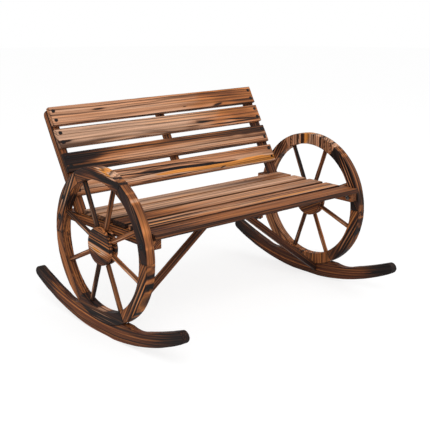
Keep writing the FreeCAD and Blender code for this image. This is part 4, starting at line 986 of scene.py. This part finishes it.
def section_places(side_count, top_count, corner_count=3):
    """Round a section: place on its inner rectangle, and the way out at that place."""
    places = []
    quarters = ((1, 0, side_count), (0, 1, top_count), (-1, 0, side_count), (0, -1, top_count))
    for number, (a, b, count) in enumerate(quarters):
        for n in range(count):
            shift = -1 + 2 * n / (count - 1)
            places.append(((a - b * shift, b + a * shift), (a, b)))
        for n in range(1, corner_count):
            turn = math.pi / 2 * (number + n / corner_count)
            places.append(((a - b, b + a), (math.cos(turn), math.sin(turn))))
    places.append(places[0])
    return places


class BENCH_OT_rockers(Operator):
    """Two curved runners with the cradles that the wheels stand in"""
    bl_idname = "bench.rockers"
    bl_label = "Rockers"

    def execute(self, context):
        for side, sign in SIDES.items():
            self.rocker(context.scene.bench_sizes.edge, side, sign)
        return {"FINISHED"}

    def rocker(self, ease, side, sign):
        """A grid, bent round each section of the runner and drawn along its length."""
        half_x = (ROCKER_HIGH.x - ROCKER_LOW.x) / 2
        stations = rocker_stations()
        places = section_places(26, 13)
        bm = bmesh.new()
        bmesh.ops.create_grid(bm, x_segments=len(stations) - 1, y_segments=len(places) - 1,
                              size=0.5)
        for vert in bm.verts:
            y = stations[round((vert.co.x + 0.5) * (len(stations) - 1))]
            (a, b), (way_x, way_z) = places[round((vert.co.y + 0.5) * (len(places) - 1))]
            low, high = under_rocker(y), over_rocker(y)
            half_z = (high - low) / 2
            corner = min(ease, half_z)
            vert.co = (a * (half_x - corner) + way_x * corner, y,
                       (low + high) / 2 + b * (half_z - corner) + way_z * corner)
        bmesh.ops.remove_doubles(bm, verts=bm.verts[:], dist=1e-6)
        bmesh.ops.recalc_face_normals(bm, faces=bm.faces[:])

        def to_wood(co):
            """The grain follows most of the runner's bend."""
            bend = ROCKER_CENTRE_Z - math.sqrt(ROCKER_RADIUS ** 2 - co.y ** 2)
            return co.y, co.z - GRAIN_HEIGHT - GRAIN_BEND * bend, sign * co.x - half_x

        finish_wood(f"{side}_runner", "rocker", f"{side}_rocker", bm,
                    Matrix.Translation((sign * RIM_X, 0, 0)), ROCKER_FIGURES[side],
                    to_wood=to_wood, thin_axis=X_AXIS)


# Fasteners

def hexagon(turn):
    """Radius of a hexagon at an angle, as a share of its corner's."""
    sixth = math.pi / 3
    return math.cos(sixth / 2) / math.cos((turn % sixth) - sixth / 2)


def star(turn):
    """Radius of a six-pointed socket at an angle, as a share of its tip's."""
    return 0.84 + 0.16 * math.cos(6 * turn)


# Sizes of the screws and bolts: head, shank and point, and the socket and its form
SCREW = {"head": 0.0025, "shank": 0.0021, "point": 0.004, "socket": 0.0023, "depth": 0.0016,
         "form": star}
BOLT = {"head": 0.0035, "shank": 0.003, "point": 0.001, "socket": 0.0032, "depth": 0.0024,
        "form": hexagon}


# Lengths of the fasteners, by their nodes
FASTENER_LENGTHS = {"back_screws": 0.040, "short_screws": 0.033, "seat_screws": 0.046,
                    "rocker_screws": 0.050, "brace_screws": 0.032, "frame_bolts": 0.0785}


def fastener(radius, total, head, shank, point, socket, depth, form):
    """A screw or bolt that points down, with the top of its head at 0 and a socket in it."""
    bm = bmesh.new()
    ease = head / 4
    bmesh.ops.create_circle(bm, cap_ends=True, segments=36, radius=radius - ease)
    inner = bm.faces[:][0]
    bmesh.ops.inset_region(bm, faces=[inner], thickness=radius - ease - socket, depth=0,
                           use_boundary=True, use_even_offset=True)
    edges = [e for e in bm.edges if e.is_boundary]
    for vert in inner.verts:
        flat = vert.co.to_2d()
        vert.co.xy = flat.normalized() * socket * form(math.atan2(flat.y, flat.x))
    for sink, share in ((0.0, 0.97), (-depth, 1.0), (-depth * 0.15, 0.3)):
        inner = bmesh.ops.extrude_discrete_faces(bm, faces=[inner])["faces"][0]
        verts = list(inner.verts)
        bmesh.ops.translate(bm, vec=(0, 0, sink), verts=verts)
        bmesh.ops.scale(bm, vec=(share, share, 1), verts=verts)
    now = radius - ease
    for reach, z in ((radius, -ease), (radius, -head), (shank, -head), (shank, point - total),
                     (shank / 2, -total)):
        grown = bmesh.ops.extrude_edge_only(bm, edges=edges)["geom"]
        verts = [g for g in grown if isinstance(g, bmesh.types.BMVert)]
        edges = [g for g in grown if isinstance(g, bmesh.types.BMEdge)
                 and all(v in verts for v in g.verts)]
        for vert in verts:
            vert.co = (vert.co.x * reach / now, vert.co.y * reach / now, z)
        now = reach
    bmesh.ops.holes_fill(bm, edges=edges, sides=0)
    bmesh.ops.recalc_face_normals(bm, faces=bm.faces[:])
    return bm


def stamp(name, node, places, radius, kind):
    """Copies of a fastener at their places, as one piece."""
    one = fastener(radius, FASTENER_LENGTHS[node], **kind)
    mesh = bpy.data.meshes.new("fastener")
    one.to_mesh(mesh)
    one.free()
    bm = bmesh.new()
    for place in places:
        known = set(bm.verts)
        bm.from_mesh(mesh)
        bmesh.ops.transform(bm, matrix=place, verts=[v for v in bm.verts if v not in known])
    bpy.data.meshes.remove(mesh)
    material = material_for("black_steel", steel, BLACK_STEEL, 0.5, 0.0)
    piece = finish_piece(name, bm, Matrix(), material, "dark_steel", node)
    for polygon in piece.data.polygons:
        polygon.use_smooth = False


def pointing(origin, out):
    """The place of a fastener whose head faces out."""
    return Matrix.Translation(origin) @ out.to_track_quat("Z", "Y").to_matrix().to_4x4()


class BENCH_OT_screws(Operator):
    """Wood screws in the back, seat, braces and rockers"""
    bl_idname = "bench.screws"
    bl_label = "Screws"

    def execute(self, context):
        radius = context.scene.bench_sizes.screw_head / 2
        slats = [slat_top(n) for n in range(BACK_SLATS)]
        rows = [sum(corner.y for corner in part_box(f"seat_slat_{n + 1}")) / 2
                for n in range(SEAT_SLATS)]
        down = -Z_AXIS
        places = [pointing(top - BACK_UP * below + X_AXIS * x, BACK_OUT)
                  for top in slats for x in BACK_SCREW_X for below in BACK_SCREW_DOWN]
        stamp("slat_screws", "back_screws", places, radius, SCREW)
        behind = BACK_UP * BACK_WIDTH / 2 + BACK_OUT * (SLAT + BATTEN)
        places = [pointing(top - behind, -BACK_OUT) for top in slats]
        places += [pointing(Vector((0, y, SEAT_UNDERSIDE - BATTEN)), down) for y in rows]
        stamp("hidden_screws", "short_screws", places, radius, SCREW)
        under_rail = SEAT_UNDERSIDE - RAIL + RAIL_SCREW_SUNK
        places = [pointing(Vector((sign * RAIL_X, y, under_rail)), down)
                  for y in rows for sign in SIDES.values()]
        stamp("rail_screws", "seat_screws", places, radius, SCREW)
        rim = [(y, WHEEL_Z - math.sqrt(WHEEL_RADIUS ** 2 - y * y)) for y in RUNNER_SCREW_Y]
        places = [pointing(Vector((sign * RIM_X, y, z - RUNNER_SCREW_DOWN)), down)
                  for sign in SIDES.values() for y, z in rim]
        stamp("runner_screws", "rocker_screws", places, radius, SCREW)
        places = [pointing(Vector((sign * x, BRACE_Y, z)), out) for sign in SIDES.values()
                  for (x, z), out in zip(BRACE_SCREWS, (down, -sign * X_AXIS))]
        stamp("strut_screws", "brace_screws", places, radius, SCREW)
        return {"FINISHED"}


class BENCH_OT_bolts(Operator):
    """Bolts through the rims, with their nuts, washers and the rims' dowels"""
    bl_idname = "bench.bolts"
    bl_label = "Bolts"

    def execute(self, context):
        radius = context.scene.bench_sizes.bolt_head / 2
        places = [pointing(Vector((sign * (RIM_X + HALF_RIM), y, z)), sign * X_AXIS)
                  for sign in SIDES.values() for y, z in RIM_BOLTS]
        stamp("rim_bolts", "frame_bolts", places, radius, BOLT)
        zinc = material_for("zinc_steel", steel, ZINC_STEEL, 0.5, 0.9)
        self.finish("frame_washers", zinc)
        self.finish("frame_nuts", zinc)
        self.finish("rim_dowels", material_for("dowel_beech", beech))
        return {"FINISHED"}

    def finish(self, name, material):
        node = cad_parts[name]
        node.data.materials.clear()
        node.data.materials.append(material)


# Stage

WHITE = (1, 1, 1)
FLOOR_RADIUS = 14
LAMP_SIZE = 2.6
LAMP_TARGET = (0, 0, 0.35)
KEY_PLACE = (-2.2, -3.0, 3.4)
FILL_PLACE = (3.2, -2.0, 2.2)


def pale_floor(graph):
    """A pale floor that looks white to the camera and keeps the bench's soft shadow."""
    shadowed = graph.add("BsdfDiffuse", (0.30, 0.30, 0.30))
    white = graph.add("AddShader", shadowed, graph.add("Emission", WHITE, 0.76))
    graph.white_to_camera(graph.add("BsdfDiffuse", (0.80, 0.80, 0.80)), white)


def set_world(strength):
    """Even light from all round, and a white background to the camera."""
    world = bpy.data.worlds.new("studio")
    bpy.context.scene.world = world
    graph = Graph(world, "World")
    graph.white_to_camera(graph.add("Background", WHITE, strength),
                          graph.add("Background", WHITE, 1))


def aim(name, data, place, target):
    """A lamp or camera at a place, turned to look at a target."""
    thing = bpy.data.objects.new(name, data)
    thing.location = place
    direction = Vector(target) - Vector(place)
    thing.rotation_euler = direction.to_track_quat("-Z", "Y").to_euler()
    bpy.context.scene.collection.objects.link(thing)
    return thing


class BENCH_OT_stage(Operator):
    """Floor, lamps and camera"""
    bl_idname = "bench.stage"
    bl_label = "Stage"

    def execute(self, context):
        scene = context.scene
        stage = scene.bench_stage
        bm = bmesh.new()
        bmesh.ops.create_circle(bm, cap_ends=True, segments=64, radius=FLOOR_RADIUS)
        mesh = bpy.data.meshes.new("floor")
        bm.to_mesh(mesh)
        bm.free()
        floor = bpy.data.objects.new("floor", mesh)
        scene.collection.objects.link(floor)
        mesh.materials.append(material_for("pale_floor", pale_floor))
        set_world(stage.sky)
        for name, power, place in (("key_lamp", stage.key, KEY_PLACE),
                                   ("fill_lamp", stage.fill, FILL_PLACE)):
            light = bpy.data.lights.new(name, "AREA")
            light.energy = power
            light.shape = "DISK"
            light.size = LAMP_SIZE
            aim(name, light, place, LAMP_TARGET)
        camera = bpy.data.cameras.new("camera")
        camera.lens = stage.lens
        camera.sensor_width = 36
        scene.camera = aim("camera", camera, stage.eye, stage.target)
        scene.view_settings.view_transform = "Standard"
        return {"FINISHED"}


class BENCH_PT_panel(Panel):
    """The bench's pieces in the sidebar"""
    bl_label = "Rocking bench"
    bl_idname = "BENCH_PT_panel"
    bl_space_type = "VIEW_3D"
    bl_region_type = "UI"
    bl_category = "Bench"

    def draw(self, context):
        for operator in OPERATORS:
            self.layout.operator(operator.bl_idname)
        for name in GROUPS:
            group = getattr(context.scene, name)
            box = self.layout.box()
            for key in group.bl_rna.properties.keys():
                if key not in ("rna_type", "name"):
                    box.prop(group, key)


OPERATORS = (BENCH_OT_seat_slats, BENCH_OT_back_slats, BENCH_OT_frame, BENCH_OT_rims,
             BENCH_OT_spokes, BENCH_OT_hubs, BENCH_OT_rockers, BENCH_OT_screws, BENCH_OT_bolts,
             BENCH_OT_stage)
GROUPS = {"bench_wood": BenchWood, "bench_sizes": BenchSizes, "bench_stage": BenchStage}
CLASSES = (*GROUPS.values(), *OPERATORS, BENCH_PT_panel)


def register():
    for cls in CLASSES:
        bpy.utils.register_class(cls)
    for name, group in GROUPS.items():
        setattr(bpy.types.Scene, name, PointerProperty(type=group))


def unregister():
    for name in GROUPS:
        delattr(bpy.types.Scene, name)
    for cls in reversed(CLASSES):
        bpy.utils.unregister_class(cls)


def main():
    register()
    bpy.ops.bench.seat_slats()
    bpy.ops.bench.back_slats()
    bpy.ops.bench.frame()
    bpy.ops.bench.rims()
    bpy.ops.bench.spokes()
    bpy.ops.bench.hubs()
    bpy.ops.bench.rockers()
    bpy.ops.bench.screws()
    bpy.ops.bench.bolts()
    bpy.ops.bench.stage()
    bpy.context.view_layer.update()


if __name__ == "__main__":
    main()
